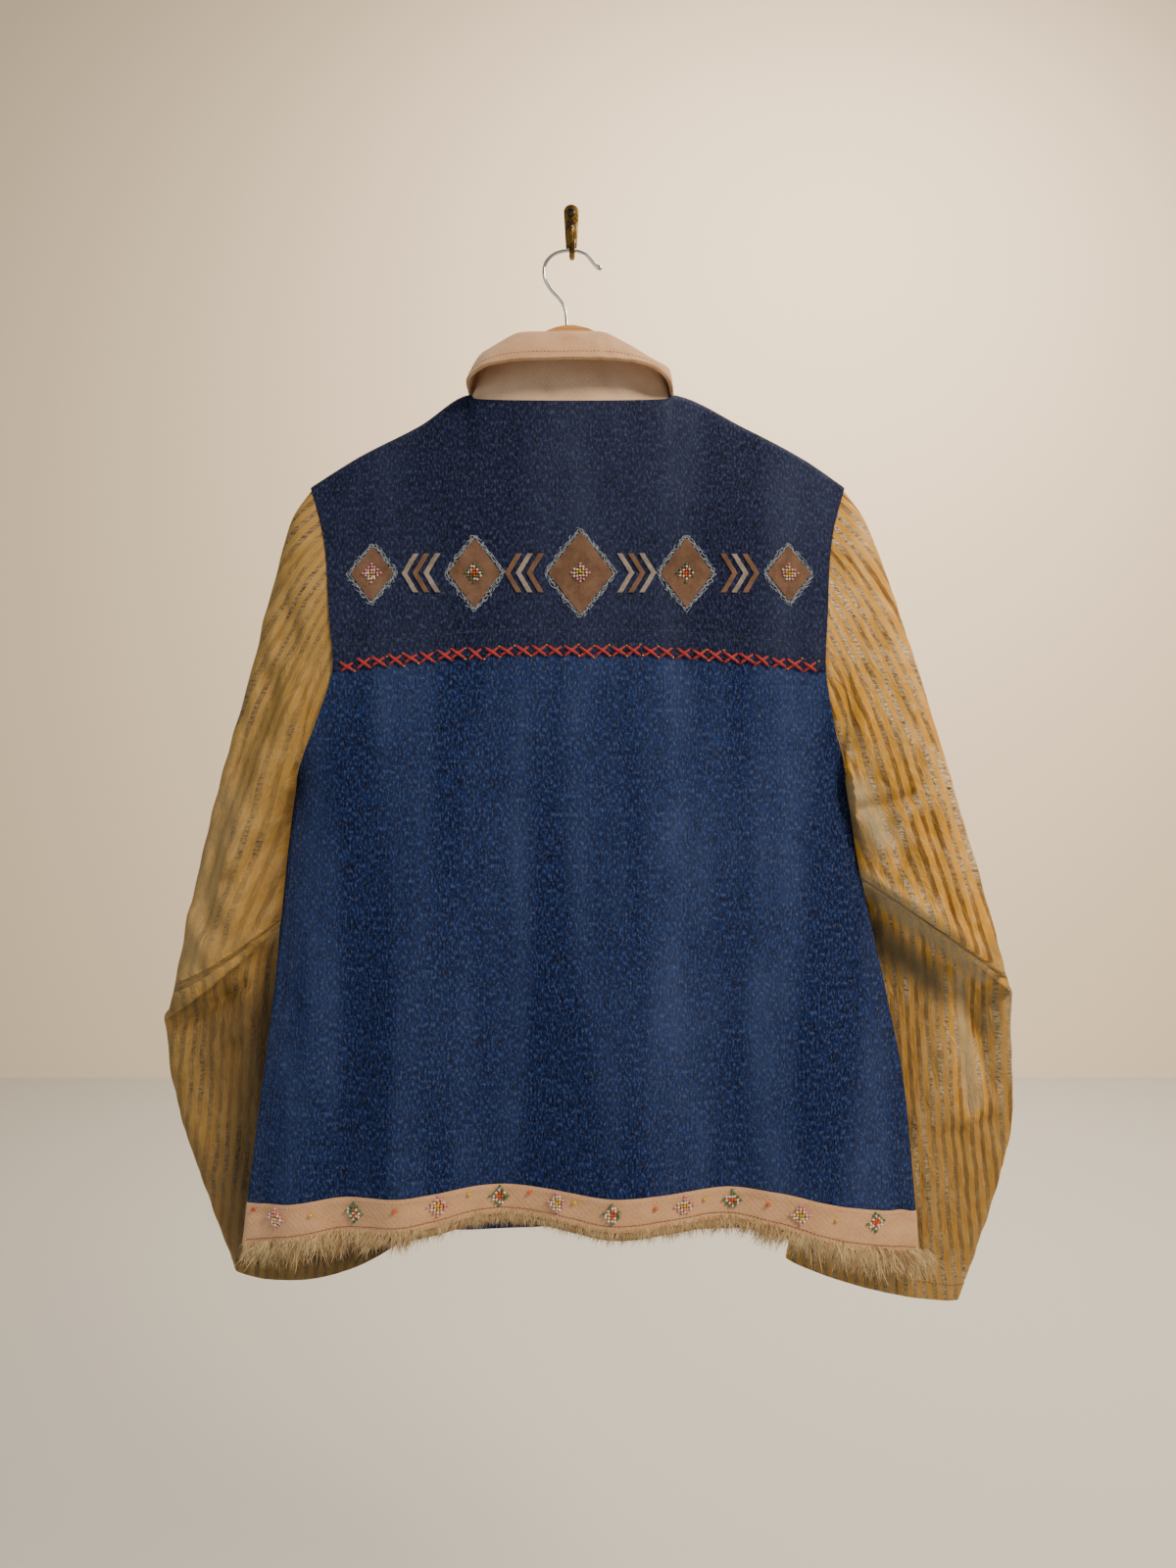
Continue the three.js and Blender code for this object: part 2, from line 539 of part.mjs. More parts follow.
// Moves a collar point clear of the body's outer face, where it lies over the body.
function clearOfBody(point, gap) {
  const face = point.y > lookUp(DEPTH, 'z', 'seam', point.z) ? 'front' : 'back';
  const top = topZ(face, point.x);
  if (point.z > top + gap) return point;
  const limit = bodyPoint(face, point.x, Math.min(point.z, top), gap).y;
  point.y = face === 'front' ? Math.max(point.y, limit) : Math.min(point.y, limit);
  return point;
}

function collarEdge(share) {
  const back = backness(share);
  const x = -Math.sin(neckTurn(share));
  const side = Math.sign(x);
  if (back >= 0) {
    return new THREE.Vector3(89 * x, mix(-40, -93, Math.sqrt(back)), mix(-143, -141, smooth(back * 1.2)));
  }
  const forward = smooth(-back) ** 1.4;
  const at = new THREE.Vector3(side * mix(89, 52, forward), 0, mix(-143, -236, forward));
  const rest = bodyPoint('front', at.x, Math.min(at.z, topZ('front', at.x) - 1), 5).y;
  at.y = mix(-40, rest, smooth(-back * 3));
  return at;
}

const STAND_INSET = 0.962; // how far in the stand's foot lies at the front neck
const COLLAR_STEPS = 40;
const COLLAR_END = 0.012; // share of the way round that stays open at the middle front
const collarShares = Array.from({ length: COLLAR_STEPS + 1 }, (_, i) => mix(COLLAR_END, 1 - COLLAR_END, i / COLLAR_STEPS));

function makeCollarStand() {
  const foot = collarShares.map((s) => {
    const point = neckPoint(s);
    const front = smooth(-backness(s) * 3);
    return point.setX(point.x * mix(0.975, STAND_INSET, front)).setZ(point.z + 2);
  });
  const top = collarShares.map((s) => collarFold(s).add(new THREE.Vector3(0, 0, -1.4)));
  const rows = [0, 0.5, 1].map((t) => foot.map((p, i) => p.clone().lerp(top[i], t)));
  return cloth('collar_stand', rows, TWILL, MATERIAL.twill);
}

function makeCollarFall() {
  const rows = [0, 0.12, 0.4, 0.7, 1].map((t) => collarShares.map((s) => {
    const fold = collarFold(s);
    const edge = collarEdge(s);
    const out = new THREE.Vector2(edge.x - fold.x, edge.y - fold.y).normalize();
    const swell = 9 * Math.sin(Math.PI * Math.sqrt(t));
    const past = Math.max(smooth(t / 0.12), smooth((0.4 - backness(s)) / 0.3));
    const away = swell * 0.6 + mix(0.6, 3.1, past);
    const point = fold.clone().lerp(edge, t);
    point.x += out.x * away;
    point.y += out.y * away + 3 * past * smooth(-backness(s) * 5);
    point.z += mix(0, 1.8, past) + swell * 0.35;
    return clearOfBody(point, 4.8);
  }));
  return cloth('collar_fall', rows.reverse(), TWILL, MATERIAL.twill);
}

// A small patch that lies on the back's outer face. Its corners are given as x and z, anticlockwise from below.
function makePatch(name, corners, cells, material) {
  const lift = DENIM / 2 + SEAM_GAP + SUEDE / 2 + PATCH_EASE;
  const rows = [];
  for (let j = 0; j <= cells.rows; j += 1) {
    const row = [];
    for (let i = 0; i <= cells.columns; i += 1) {
      const [u, v] = [i / cells.columns, j / cells.rows];
      const low = corners[0].clone().lerp(corners[1], u);
      const high = corners[3].clone().lerp(corners[2], u);
      const at = low.lerp(high, v);
      row.push(bodyPoint('back', at.x, at.y, lift));
    }
    rows.push(row);
  }
  return cloth(name, rows, SUEDE, material);
}

function makeLozenge(spec, n) {
  const { x, halfWidth, halfHeight } = spec;
  const corners = [[0, -halfHeight], [halfWidth, 0], [0, halfHeight], [-halfWidth, 0]]
    .map(([dx, dz]) => new THREE.Vector2(x + dx, BORDER_Z + dz));
  return makePatch(`lozenge_${n + 1}`, corners, { rows: 3, columns: 3 }, MATERIAL.brownSuede);
}

// A chevron points away from the middle of the back: two bars that meet at its tip.
function makeChevron(x, outward, n) {
  const lift = DENIM / 2 + SEAM_GAP + SUEDE / 2 + PATCH_EASE;
  const bends = [-1, -0.5, 0, 0.5, 1];
  const rows = [0, 1].map((edge) => bends.map((b) => bodyPoint(
    'back',
    x + outward * (CHEVRON.reach * (1 - Math.abs(b)) + edge * CHEVRON.width * 1.3),
    BORDER_Z + CHEVRON.halfHeight * b, lift,
  )));
  // rows run upwards, so the wider edge comes first on the right-hand side
  const ordered = outward > 0 ? rows.reverse() : rows;
  return cloth(`chevron_${n + 1}`, ordered, SUEDE, n % 2 ? MATERIAL.brownSuede : MATERIAL.greySuede);
}

function makeBorder() {
  const pieces = LOZENGES.map(makeLozenge);
  let n = 0;
  for (let gap = 0; gap < LOZENGES.length - 1; gap += 1) {
    const [a, b] = [LOZENGES[gap], LOZENGES[gap + 1]];
    const middle = (a.x + a.halfWidth + b.x - b.halfWidth) / 2;
    const outward = middle < LOZENGES[2].x ? -1 : 1;
    for (let c = 0; c < CHEVRONS_A_STACK; c += 1) {
      const shift = (c - (CHEVRONS_A_STACK - 1) / 2) * CHEVRON.pitch;
      pieces.push(makeChevron(middle - outward * CHEVRON.reach / 2 + shift, outward, n));
      n += 1;
    }
  }
  return pieces;
}

const BUTTON_HEIGHTS = [-262, -365, -468, -571, -674, -777];
const BUTTON = { radius: 8.5, thick: 2.6 };
function makeButton(z, n) {
  const profile = [[0, 0], [BUTTON.radius - 0.8, 0], [BUTTON.radius, 1], [BUTTON.radius - 2, BUTTON.thick], [0, BUTTON.thick]]
    .map(([r, h]) => new THREE.Vector2(r, h));
  const mesh = new THREE.Mesh(new THREE.LatheGeometry(profile, 12), MATERIAL.button);
  mesh.name = `button_${n + 1}`;
  const face = bodyPoint('front', 0, z, PLACKET_LIFT / 2 + DENIM / 2 + SEAM_GAP + 0.4);
  mesh.position.copy(face);
  return mesh;
}

// The wooden hanger's outline: its top edge lies just under the shoulder seams and arches up at the middle.
const HANGER = { thick: 8, y: -35, clear: 11.5, top: -90, tipX: 196 };
function hangerShape() {
  const top = [];
  for (let x = -HANGER.tipX; x <= HANGER.tipX; x += 14) {
    const under = lookUp(SHOULDER, 'x', 'z', x) - HANGER.clear;
    const crown = HANGER.top - 0.0125 * x * x;
    top.push([x, Math.abs(x) < NECK_HALF + 12 ? Math.max(crown, NECK_Z - 30) : under]);
  }
  const smoothTop = top.map(([x, z], i) => {
    const before = top[Math.max(i - 1, 0)][1];
    const after = top[Math.min(i + 1, top.length - 1)][1];
    return [x, Math.abs(x) < NECK_HALF + 20 ? (before + 2 * z + after) / 4 : z];
  });
  const bottom = smoothTop.map(([x, z]) => [x, z - mix(36, 20, smooth(Math.abs(x) / 190))]).reverse();
  const shape = new THREE.Shape();
  [...smoothTop, ...bottom].forEach(([x, z], i) => (i ? shape.lineTo(x, z) : shape.moveTo(x, z)));
  return shape;
}

function makeHanger() {
  const geometry = new THREE.ExtrudeGeometry(hangerShape(), { depth: HANGER.thick, bevelEnabled: false });
  geometry.rotateX(Math.PI / 2);
  geometry.translate(0, HANGER.y + HANGER.thick / 2, 0);
  const mesh = new THREE.Mesh(geometry, MATERIAL.wood);
  mesh.name = 'hanger_wood';
  return mesh;
}

function circle(radius, sides) {
  const shape = new THREE.Shape();
  for (let i = 0; i < sides; i += 1) {
    const a = (2 * Math.PI * i) / sides;
    const [x, y] = [radius * Math.cos(a), radius * Math.sin(a)];
    if (i) shape.lineTo(x, y); else shape.moveTo(x, y);
  }
  return shape;
}

function makeRod(name, points, radius, steps, material) {
  const path = new THREE.CatmullRomCurve3(points.map(([x, y, z]) => new THREE.Vector3(x, y, z)));
  const geometry = new THREE.ExtrudeGeometry(circle(radius, 8), { steps, extrudePath: path, bevelEnabled: false });
  const mesh = new THREE.Mesh(geometry, material);
  mesh.name = name;
  return mesh;
}

const WIRE_RADIUS = 1.4;
const PRONG_RADIUS = 2.4;
const PRONG_LOW_Z = -35;
const WIRE_TOP_Z = PRONG_LOW_Z + PRONG_RADIUS + SEAM_GAP + WIRE_RADIUS;
const makeHangerHook = () => makeRod('hanger_hook', [
  [-3, HANGER.y, HANGER.top - 1.1], [-4, HANGER.y, -80], [-8, HANGER.y, -71], [-16, HANGER.y, -62],
  [-21, HANGER.y, -52], [-20, HANGER.y, -41], [-12, HANGER.y, -33.4], [1, HANGER.y, WIRE_TOP_Z],
  [12, HANGER.y, -34], [19, HANGER.y, -42], [25, HANGER.y, -46],
], WIRE_RADIUS, 34, MATERIAL.chrome);

// The brass wall hook: a long plate that narrows downwards, its prong, and two screw heads.
const PLATE = { top: 22, bottom: -17, halfTop: 6.2, halfBottom: 4.6, thick: 3 };
const PRONG_ROOT_Y = -PLATE.thick - SEAM_GAP - 0.5;
const makeProng = () => makeRod('wall_hook_prong', [
  [1, PRONG_ROOT_Y, -11], [1, -9, -12], [1, -18, -24], [1, -26, -32.5], [1, HANGER.y, PRONG_LOW_Z],
  [1, -42, -31], [1, -45, -22], [1, -44.5, -16],
], PRONG_RADIUS, 20, MATERIAL.brass);

function makePlate() {
  const shape = new THREE.Shape();
  const arcs = [
    { z: PLATE.top - PLATE.halfTop, r: PLATE.halfTop, from: 0, to: Math.PI },
    { z: PLATE.bottom + PLATE.halfBottom, r: PLATE.halfBottom, from: Math.PI, to: 2 * Math.PI },
  ];
  arcs.forEach((arc, n) => {
    for (let i = 0; i <= 10; i += 1) {
      const a = mix(arc.from, arc.to, i / 10);
      const [x, z] = [arc.r * Math.cos(a), arc.z + arc.r * Math.sin(a)];
      if (n || i) shape.lineTo(x, z); else shape.moveTo(x, z);
    }
  });
  const geometry = new THREE.ExtrudeGeometry(shape, { depth: PLATE.thick, bevelEnabled: false });
  geometry.rotateX(Math.PI / 2);
  const mesh = new THREE.Mesh(geometry, MATERIAL.brass);
  mesh.name = 'wall_hook_plate';
  return mesh;
}

const SCREWS = [15, 4];
function makeScrew(z, n) {
  const profile = [[0, 0], [3.4, 0], [3.2, 0.8], [1.8, 1.6], [0, 1.8]].map(([r, h]) => new THREE.Vector2(r, h));
  const mesh = new THREE.Mesh(new THREE.LatheGeometry(profile, 14), MATERIAL.steel);
  mesh.name = `screw_${n + 1}`;
  mesh.rotation.x = Math.PI;
  mesh.position.set(0, -PLATE.thick - SEAM_GAP, z);
  return mesh;
}

const jacket = new THREE.Group();
const yoke = makeYoke();
const lowerBack = makeLowerBack();
const fronts = { left: makeFront('left'), right: makeFront('right') };
jacket.add(yoke, lowerBack, fronts.left, fronts.right);
jacket.add(...makeSleeve('left', LEFT_SLEEVE, LEFT_CREASES, armholeLoop('left', yoke, lowerBack, fronts.left)));
jacket.add(...makeSleeve('right', RIGHT_SLEEVE, RIGHT_CREASES, armholeLoop('right', yoke, lowerBack, fronts.right)));
jacket.add(makeBand(), makeFur(), makeCollarStand(), makeCollarFall());
jacket.add(...makeBorder(), ...BUTTON_HEIGHTS.map(makeButton));
jacket.add(makeHanger(), makeHangerHook(), makePlate(), makeProng(), ...SCREWS.map(makeScrew));

export default jacket;
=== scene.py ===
import math

import bpy
import numpy as np
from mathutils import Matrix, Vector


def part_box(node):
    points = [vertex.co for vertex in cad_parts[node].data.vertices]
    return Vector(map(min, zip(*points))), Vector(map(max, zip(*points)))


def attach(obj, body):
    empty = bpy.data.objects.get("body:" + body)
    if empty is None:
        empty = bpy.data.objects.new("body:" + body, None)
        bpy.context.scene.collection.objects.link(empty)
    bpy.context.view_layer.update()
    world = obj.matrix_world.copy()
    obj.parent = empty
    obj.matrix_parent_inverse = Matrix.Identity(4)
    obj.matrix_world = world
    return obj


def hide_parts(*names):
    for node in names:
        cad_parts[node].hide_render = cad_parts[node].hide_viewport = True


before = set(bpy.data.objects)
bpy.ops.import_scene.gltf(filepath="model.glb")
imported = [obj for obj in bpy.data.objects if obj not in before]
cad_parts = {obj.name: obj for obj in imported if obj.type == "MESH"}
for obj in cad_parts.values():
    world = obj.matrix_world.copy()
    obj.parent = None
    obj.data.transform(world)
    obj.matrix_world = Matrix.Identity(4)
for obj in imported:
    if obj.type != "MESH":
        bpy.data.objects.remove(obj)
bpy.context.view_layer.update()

bl_info = {
    "name": "Denim jacket on a hanger",
    "version": (1, 0, 0),
    "blender": (4, 5, 0),
    "location": "3D View > Sidebar > Jacket",
    "description": "Denim jacket with striped velvet sleeves, on a wooden hanger and a brass wall hook",
    "category": "Add Mesh",
}

# Lengths in the tables are millimetres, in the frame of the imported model: the jacket's back faces -Y.
MM = 0.001

TIP_Z = -221
PIT_Z = -455
ARM_STEPS = 12
YOKE_STEP = 7
NECK_HALF = 80
NECK_Z = -147
BACK_NECK_DROP = 15
FRONT_NECK_DROP = 76
YOKE_RISE = 14
PLACKET_HALF = 15
PLACKET_LIFT = 2.8
FRONT_HEM_Z = -812


def table(names, *rows):
    """A table of numbers as named columns, in rising order of the first one."""
    columns = np.array(sorted(rows), float).T
    return dict(zip(names.split(), columns))


EDGE = table(
    "z left right",
    (-830, -258, 273), (-785, -253, 270), (-689, -241, 261), (-612, -232, 246), (-535, -226, 230),
    (-455, -217, 218), (-436, -209, 212), (-412, -197, 204), (-370, -182, 196), (-337, -184, 197),
    (-274, -192, 204), (-221, -207, 218),
)
DEPTH = table(
    "z seam back front",
    (-830, -52, 31, 15), (-700, -50, 34, 15), (-560, -46, 35, 15), (-455, -41, 35, 17),
    (-330, -36, 36, 18), (-221, -34, 36, 17), (-147, -34, 36, 15),
)
SHOULDER = table(
    "x z",
    (-207, -221), (-167, -196), (-120, -172), (-80, -147), (80, -147), (139, -174), (186, -199), (218, -221),
)
HEM = table(
    "x denim band",
    (-262, -786, -820), (-209, -779, -808), (-172, -773, -801), (-99, -767, -792), (-62, -763, -786),
    (-16, -764, -787), (29, -768, -793), (88, -766, -790), (123, -765, -790), (164, -769, -797),
    (192, -775, -805), (239, -786, -818), (276, -792, -825),
)
# Long folds: x at the start, x at the hem, reach, height.
BACK_FOLDS = (
    (-186, -209, 26, 6), (-140, -172, 24, -5), (-98, -132, 32, 9), (-46, -54, 40, -11),
    (58, 40, 36, 9), (112, 120, 30, -10), (160, 203, 30, 8),
)
FRONT_FOLDS = ((-120, -160, 30, 5), (-60, -84, 28, -5), (70, 88, 28, -5), (130, 172, 30, 5))
FOLD_START = -400
FOLD_RUN = 330

# Rings of the sleeves from shoulder to cuff: outer x and z, inner x and z, middle y, depth behind and in front
# of it, bow of the ring, and lift of its back half.
LEFT_SLEEVE = np.array([
    (-221, -250, -221, -460, -38, 35, 17, -24, 0),
    (-234, -301, -224, -470, -40, 34, 18, -14, 0),
    (-250, -364, -227, -484, -40, 32, 19, -6, 0),
    (-268, -426, -229, -500, -39, 30, 20, 0, 0),
    (-283, -481, -231, -522, -38, 30, 21, 2, 0),
    (-296, -536, -233, -541, -37, 31, 22, 4, 0),
    (-309, -592, -236, -556, -34, 32, 20, 6, 0),
    (-321, -640, -238, -566, -30, 32, 18, 8, 0),
    (-324, -646, -239, -571, -27, 24, 17, 8, 10),
    (-326, -653, -238, -580, -23, 15, 15, 6, 12),
    (-327, -664, -232, -600, -19, 14, 13, 3, 0),
    (-323, -698, -214, -640, -17, 13, 13, 2, 0),
    (-314, -738, -192, -690, -16, 12, 12, 2, 0),
    (-299, -782, -168, -742, -15, 11, 11, 2, 0),
    (-283, -824, -146, -790, -15, 11, 11, 8, 0),
    (-273, -853, -131, -823, -15, 11, 11, 17, 0),
], float)
RIGHT_SLEEVE = np.array([
    (233, -250, 222, -460, -38, 35, 17, -16, 0),
    (252, -301, 225, -470, -40, 34, 18, -10, 0),
    (268, -350, 227, -482, -40, 33, 19, -4, 0),
    (287, -410, 229, -494, -39, 32, 20, 0, 0),
    (307, -476, 231, -506, -38, 32, 21, 2, 0),
    (327, -543, 233, -517, -37, 33, 22, 3, 0),
    (342, -596, 235, -525, -34, 34, 20, 3, 0),
    (350, -622, 236, -530, -30, 33, 18, 2, 0),
    (352, -627, 237, -535, -27, 24, 17, 2, 10),
    (354, -634, 238, -544, -23, 15, 15, 2, 12),
    (356, -648, 234, -566, -19, 14, 13, 1, 0),
    (358, -690, 222, -618, -17, 13, 13, 1, 0),
    (358, -735, 210, -680, -16, 12, 12, 2, 0),
    (346, -786, 196, -742, -15, 11, 11, 3, 0),
    (329, -838, 184, -800, -15, 11, 11, 4, 0),
    (315, -877, 176, -844, -15, 11, 11, 5, 0),
], float)
# Creases along the sleeves: place round the back half at the start and the end (0 outer edge, 1 inner
# edge), first and last ring, reach and height.
LEFT_CREASES = ((0.62, 0.44, 1, 7, 0.10, 6), (0.40, 0.30, 1, 7, 0.10, -5), (0.34, 0.42, 10, 15, 0.10, -4))
RIGHT_CREASES = ((0.30, 0.36, 1, 7, 0.11, 4), (0.78, 0.70, 3, 7, 0.09, -5), (0.30, 0.26, 10, 14, 0.09, -4))

# Border on the yoke: x, half width and half height of each lozenge, and the chevrons' own sizes.
BORDER_Z = -296
LOZENGES = ((-152, 17, 22), (-73, 20, 27), (8, 25, 32), (89, 20, 27), (168, 17, 22))
CHEVRONS_A_STACK = 3
CHEVRON_HALF, CHEVRON_REACH, CHEVRON_WIDTH, CHEVRON_PITCH = 15, 9, 3.2, 8.4


# Shape of the cloth.


def clamp(t):
    return np.clip(t, 0.0, 1.0)


def smooth(t):
    t = clamp(t)
    return t * t * (3 - 2 * t)


def mix(a, b, t):
    return a + (b - a) * t


def bump(distance, width):
    return np.exp(-((distance / width) ** 2))


def rounded(distance, radius):
    return np.sqrt(1 - (1 - clamp(distance / radius)) ** 2)


def along(rows, key, column, at):
    """Smooth value of a column at a place along the key column."""
    k, v, at = rows[key], rows[column], np.asarray(at, float)
    slope = np.empty_like(v)
    slope[1:-1] = (v[2:] - v[:-2]) / (k[2:] - k[:-2])
    slope[0], slope[-1] = (v[1] - v[0]) / (k[1] - k[0]), (v[-1] - v[-2]) / (k[-1] - k[-2])
    i = np.clip(np.searchsorted(k, at, side="right") - 1, 0, len(k) - 2)
    span = k[i + 1] - k[i]
    t = clamp((at - k[i]) / span)
    t2, t3 = t * t, t * t * t
    return ((2 * t3 - 3 * t2 + 1) * v[i] + (t3 - 2 * t2 + t) * span * slope[i]
            + (3 * t2 - 2 * t3) * v[i + 1] + (t3 - t2) * span * slope[i + 1])


RIPPLE_WAVES = 14


def ripples(a, b, seed, shortest, longest):
    """Smooth unevenness between about -1 and 1, of waves that run every way in the plane of a and b."""
    rng = np.random.default_rng(seed)
    total = 0
    for _ in range(RIPPLE_WAVES):
        turn, phase = rng.uniform(0, 2 * np.pi, 2)
        length = np.exp(rng.uniform(np.log(shortest), np.log(longest)))
        total = total + np.sin(2 * np.pi * (a * np.cos(turn) + b * np.sin(turn)) / length + phase)
    return total / math.sqrt(2 * RIPPLE_WAVES)


def armhole_z(step):
    return mix(TIP_Z, PIT_Z, (1 - np.cos(np.pi * np.asarray(step, float) / ARM_STEPS)) / 2)


YOKE_END_Z = float(armhole_z(YOKE_STEP))


def edge_x(side, z):
    return along(EDGE, "z", side, z)


def armhole_fullness(z, to_edge):
    """How much of the full depth the body keeps at its armhole edge."""
    def share(height):
        soft = (height + np.hypot(height, 1.1 * to_edge)) / 2
        return np.sin((np.pi / 2) * clamp(2 * soft / (TIP_Z - PIT_Z)))
    return (share(z - PIT_Z) * share(TIP_Z - z)) ** 0.6


def neck_dip(x):
    return np.sqrt(np.maximum(1 - (x / NECK_HALF) ** 2, 0))


def top_z(face, x):
    x = np.asarray(x, float)
    drop = BACK_NECK_DROP * neck_dip(x) ** 0.6 if face == "back" else FRONT_NECK_DROP * neck_dip(x) ** 1.3
    return np.where(np.abs(x) < NECK_HALF, NECK_Z - drop, along(SHOULDER, "x", "z", x))


def yoke_z(x):
    return YOKE_END_Z + YOKE_RISE * (1 - (np.minimum(np.abs(x - 6), 190) / 190) ** 2)


def denim_end_z(x):
    return along(HEM, "x", "denim", x)


def band_end_z(x):
    return along(HEM, "x", "band", x)


def long_folds(rows, x, z):
    run = smooth((FOLD_START - z) / FOLD_RUN)
    return run * sum(high * bump(x - mix(top, hem, run), wide) for top, hem, wide, high in rows)


def crumple(face, x, z):
    """Small unevenness of hung denim, stronger near the side seams, the armholes and the hem."""
    if face == "front":
        return 0.7 * ripples(x, z, 5, 30, 110)
    near_side = bump(np.minimum(x - edge_x("left", z), edge_x("right", z) - x) - 14, 26)
    near_hem = bump(z - denim_end_z(x), 60)
    even = 0.55 * ripples(x, z, 3, 34, 130)
    side = near_side * (0.5 + smooth((-470 - z) / 120)) * 0.8 * ripples(x * 1.6, z, 11, 18, 60)
    hem = near_hem * 0.7 * ripples(x, z * 0.3, 12, 16, 60)
    under_arm = 2.4 * bump(x - 196 - 0.5 * (z + 430), 9) * smooth((-395 - z) / 40) * smooth((z + 520) / 50)
    return even + side + hem - under_arm


def stand_off(face, x, z):
    """Distance of the back or front from the seam plane."""
    left, right = edge_x("left", z), edge_x("right", z)
    to_edge = np.maximum(np.minimum(x - left, right - x), 0)
    to_top = np.maximum(top_z(face, x) - z, 0)
    full = along(DEPTH, "z", face, z)
    kept = armhole_fullness(z, to_edge)
    lens = 1 - (1 - clamp(to_edge / ((right - left) / 2))) ** 2.6
    side = kept + (1 - kept) * lens
    at_neck = 0.85 * neck_dip(x) ** 0.7 if face == "back" else 0.75 * neck_dip(x) ** 0.35
    top = at_neck + (1 - at_neck) * (1 - (1 - clamp(to_top / 150)) ** 2)
    seam_round = 3 * np.maximum(rounded(to_edge, 3.5), clamp(kept * 3)) * np.maximum(rounded(to_top, 8), at_neck)
    hanger_round = 5.5 * rounded(to_top, 8) * smooth((z + 300) / 60) * (1 - at_neck)
    wave = long_folds(BACK_FOLDS if face == "back" else FRONT_FOLDS, x, z)
    fade = smooth(to_edge / 40)
    fine = crumple(face, x, z) * smooth(to_edge / 10) * smooth((to_top + 3) / 10)
    return 0.15 + seam_round + hanger_round + full * side * top + wave * fade + fine


def body_points(face, x, z, out=0.0):
    x, z = np.broadcast_arrays(np.asarray(x, float), np.asarray(z, float))
    away = -1 if face == "back" else 1
    y = along(DEPTH, "z", "seam", z) + away * (stand_off(face, x, z) + out)
    return np.stack([x, y, z], -1)


# Mesh and material tools.


def select_only(obj):
    bpy.ops.object.select_all(action="DESELECT")
    obj.select_set(True)
    bpy.context.view_layer.objects.active = obj


def settle(obj, name, material, replaces=()):
    """Names a finished piece, puts its place into its mesh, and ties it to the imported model."""
    select_only(obj)
    bpy.ops.object.transform_apply(location=True, rotation=True, scale=True)
    obj.name = obj.data.name = name
    obj.data.materials.clear()
    obj.data.materials.append(material)
    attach(obj, "root")
    if replaces:
        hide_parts(*replaces)
    return obj


def apply_modifier(obj, kind, **settings):
    select_only(obj)
    modifier = obj.modifiers.new(kind.title(), kind)
    for key, value in settings.items():
        setattr(modifier, key, value)
    bpy.ops.object.modifier_apply(modifier=modifier.name)


def lay_grid(points, uv, tube, shade=None):
    """A grid of cloth: rows of points in millimetres, with their place on the flat cloth in metres. The shading
    values, if given, become a point attribute that the velvet reads: painted shade above 0, painted highlight below
    0."""
    nv, nu = points.shape[:2]
    bpy.ops.object.select_all(action="DESELECT")
    bpy.ops.mesh.primitive_grid_add(x_subdivisions=nu - 1, y_subdivisions=nv - 1, size=2, location=(0, 0, 0))
    obj = bpy.context.object
    mesh = obj.data
    flat = np.empty(len(mesh.vertices) * 3)
    mesh.vertices.foreach_get("co", flat)
    flat = flat.reshape(-1, 3)
    i = np.rint((flat[:, 0] + 1) / 2 * (nu - 1)).astype(int)
    j = np.rint((flat[:, 1] + 1) / 2 * (nv - 1)).astype(int)
    mesh.vertices.foreach_set("co", (points[j, i] * MM).ravel())
    corners = np.empty(len(mesh.loops), np.int32)
    mesh.loops.foreach_get("vertex_index", corners)
    mesh.uv_layers[0].data.foreach_set("uv", uv[j[corners], i[corners]].astype(np.float32).ravel())
    # painted shade and painted highlight, kept on the points for the velvet's colour
    if shade is not None:
        mesh.attributes.new("painted_shade_and_highlight", "FLOAT", "POINT").data.foreach_set("value", shade[j, i].ravel())
    mesh.update()
    if tube:
        select_only(obj)
        bpy.ops.object.mode_set(mode="EDIT")
        bpy.ops.mesh.select_all(action="SELECT")
        bpy.ops.mesh.remove_doubles(threshold=1e-5)
        bpy.ops.object.mode_set(mode="OBJECT")
    return obj


def cloth(points, uv, thickness, bevel, tube=False, shade=None):
    """A sewn wall of one cloth, with its two faces and its raw or turned edge."""
    obj = lay_grid(points, uv, tube, shade)
    apply_modifier(obj, "SOLIDIFY", thickness=thickness * MM, offset=0.0, use_rim=True)
    apply_modifier(obj, "BEVEL", width=bevel * MM, segments=2, limit_method="ANGLE", angle_limit=math.radians(60))
    select_only(obj)
    bpy.ops.object.shade_smooth_by_angle(angle=math.radians(50))
    return obj


def rod(path, radii, sides):
    """A bent rod along points in millimetres, with closed ends; its radii change along it."""
    path = np.asarray(path, float)
    radii = np.broadcast_to(np.asarray(radii, float), len(path))
    ahead = np.gradient(path, axis=0)
    ahead /= np.linalg.norm(ahead, axis=1)[:, None]
    side = np.zeros_like(ahead)
    last = np.cross(ahead[0], (0.0, 1.0, 0.0) if abs(ahead[0][1]) < 0.9 else (1.0, 0.0, 0.0))
    for n, way in enumerate(ahead):
        last = last - way * last.dot(way)
        last /= np.linalg.norm(last)
        side[n] = last
    up = np.cross(ahead, side)
    turn = np.linspace(0, 2 * np.pi, sides + 1)
    ring = side[:, None] * np.cos(turn)[None, :, None] + up[:, None] * np.sin(turn)[None, :, None]
    points = path[:, None] + ring * radii[:, None, None]
    length = np.concatenate([[0], np.cumsum(np.linalg.norm(np.diff(path, axis=0), axis=1))])
    uv = np.stack(np.broadcast_arrays(turn[None] * radii.mean(), length[:, None]), -1) * MM
    obj = lay_grid(points, uv, tube=True)
    select_only(obj)
    bpy.ops.object.mode_set(mode="EDIT")
    bpy.ops.mesh.select_all(action="SELECT")
    bpy.ops.mesh.region_to_loop()
    bpy.ops.mesh.edge_face_add()
    bpy.ops.mesh.select_all(action="SELECT")
    bpy.ops.mesh.normals_make_consistent(inside=False)
    bpy.ops.object.mode_set(mode="OBJECT")
    select_only(obj)
    bpy.ops.object.shade_smooth_by_angle(angle=math.radians(45))
    return obj


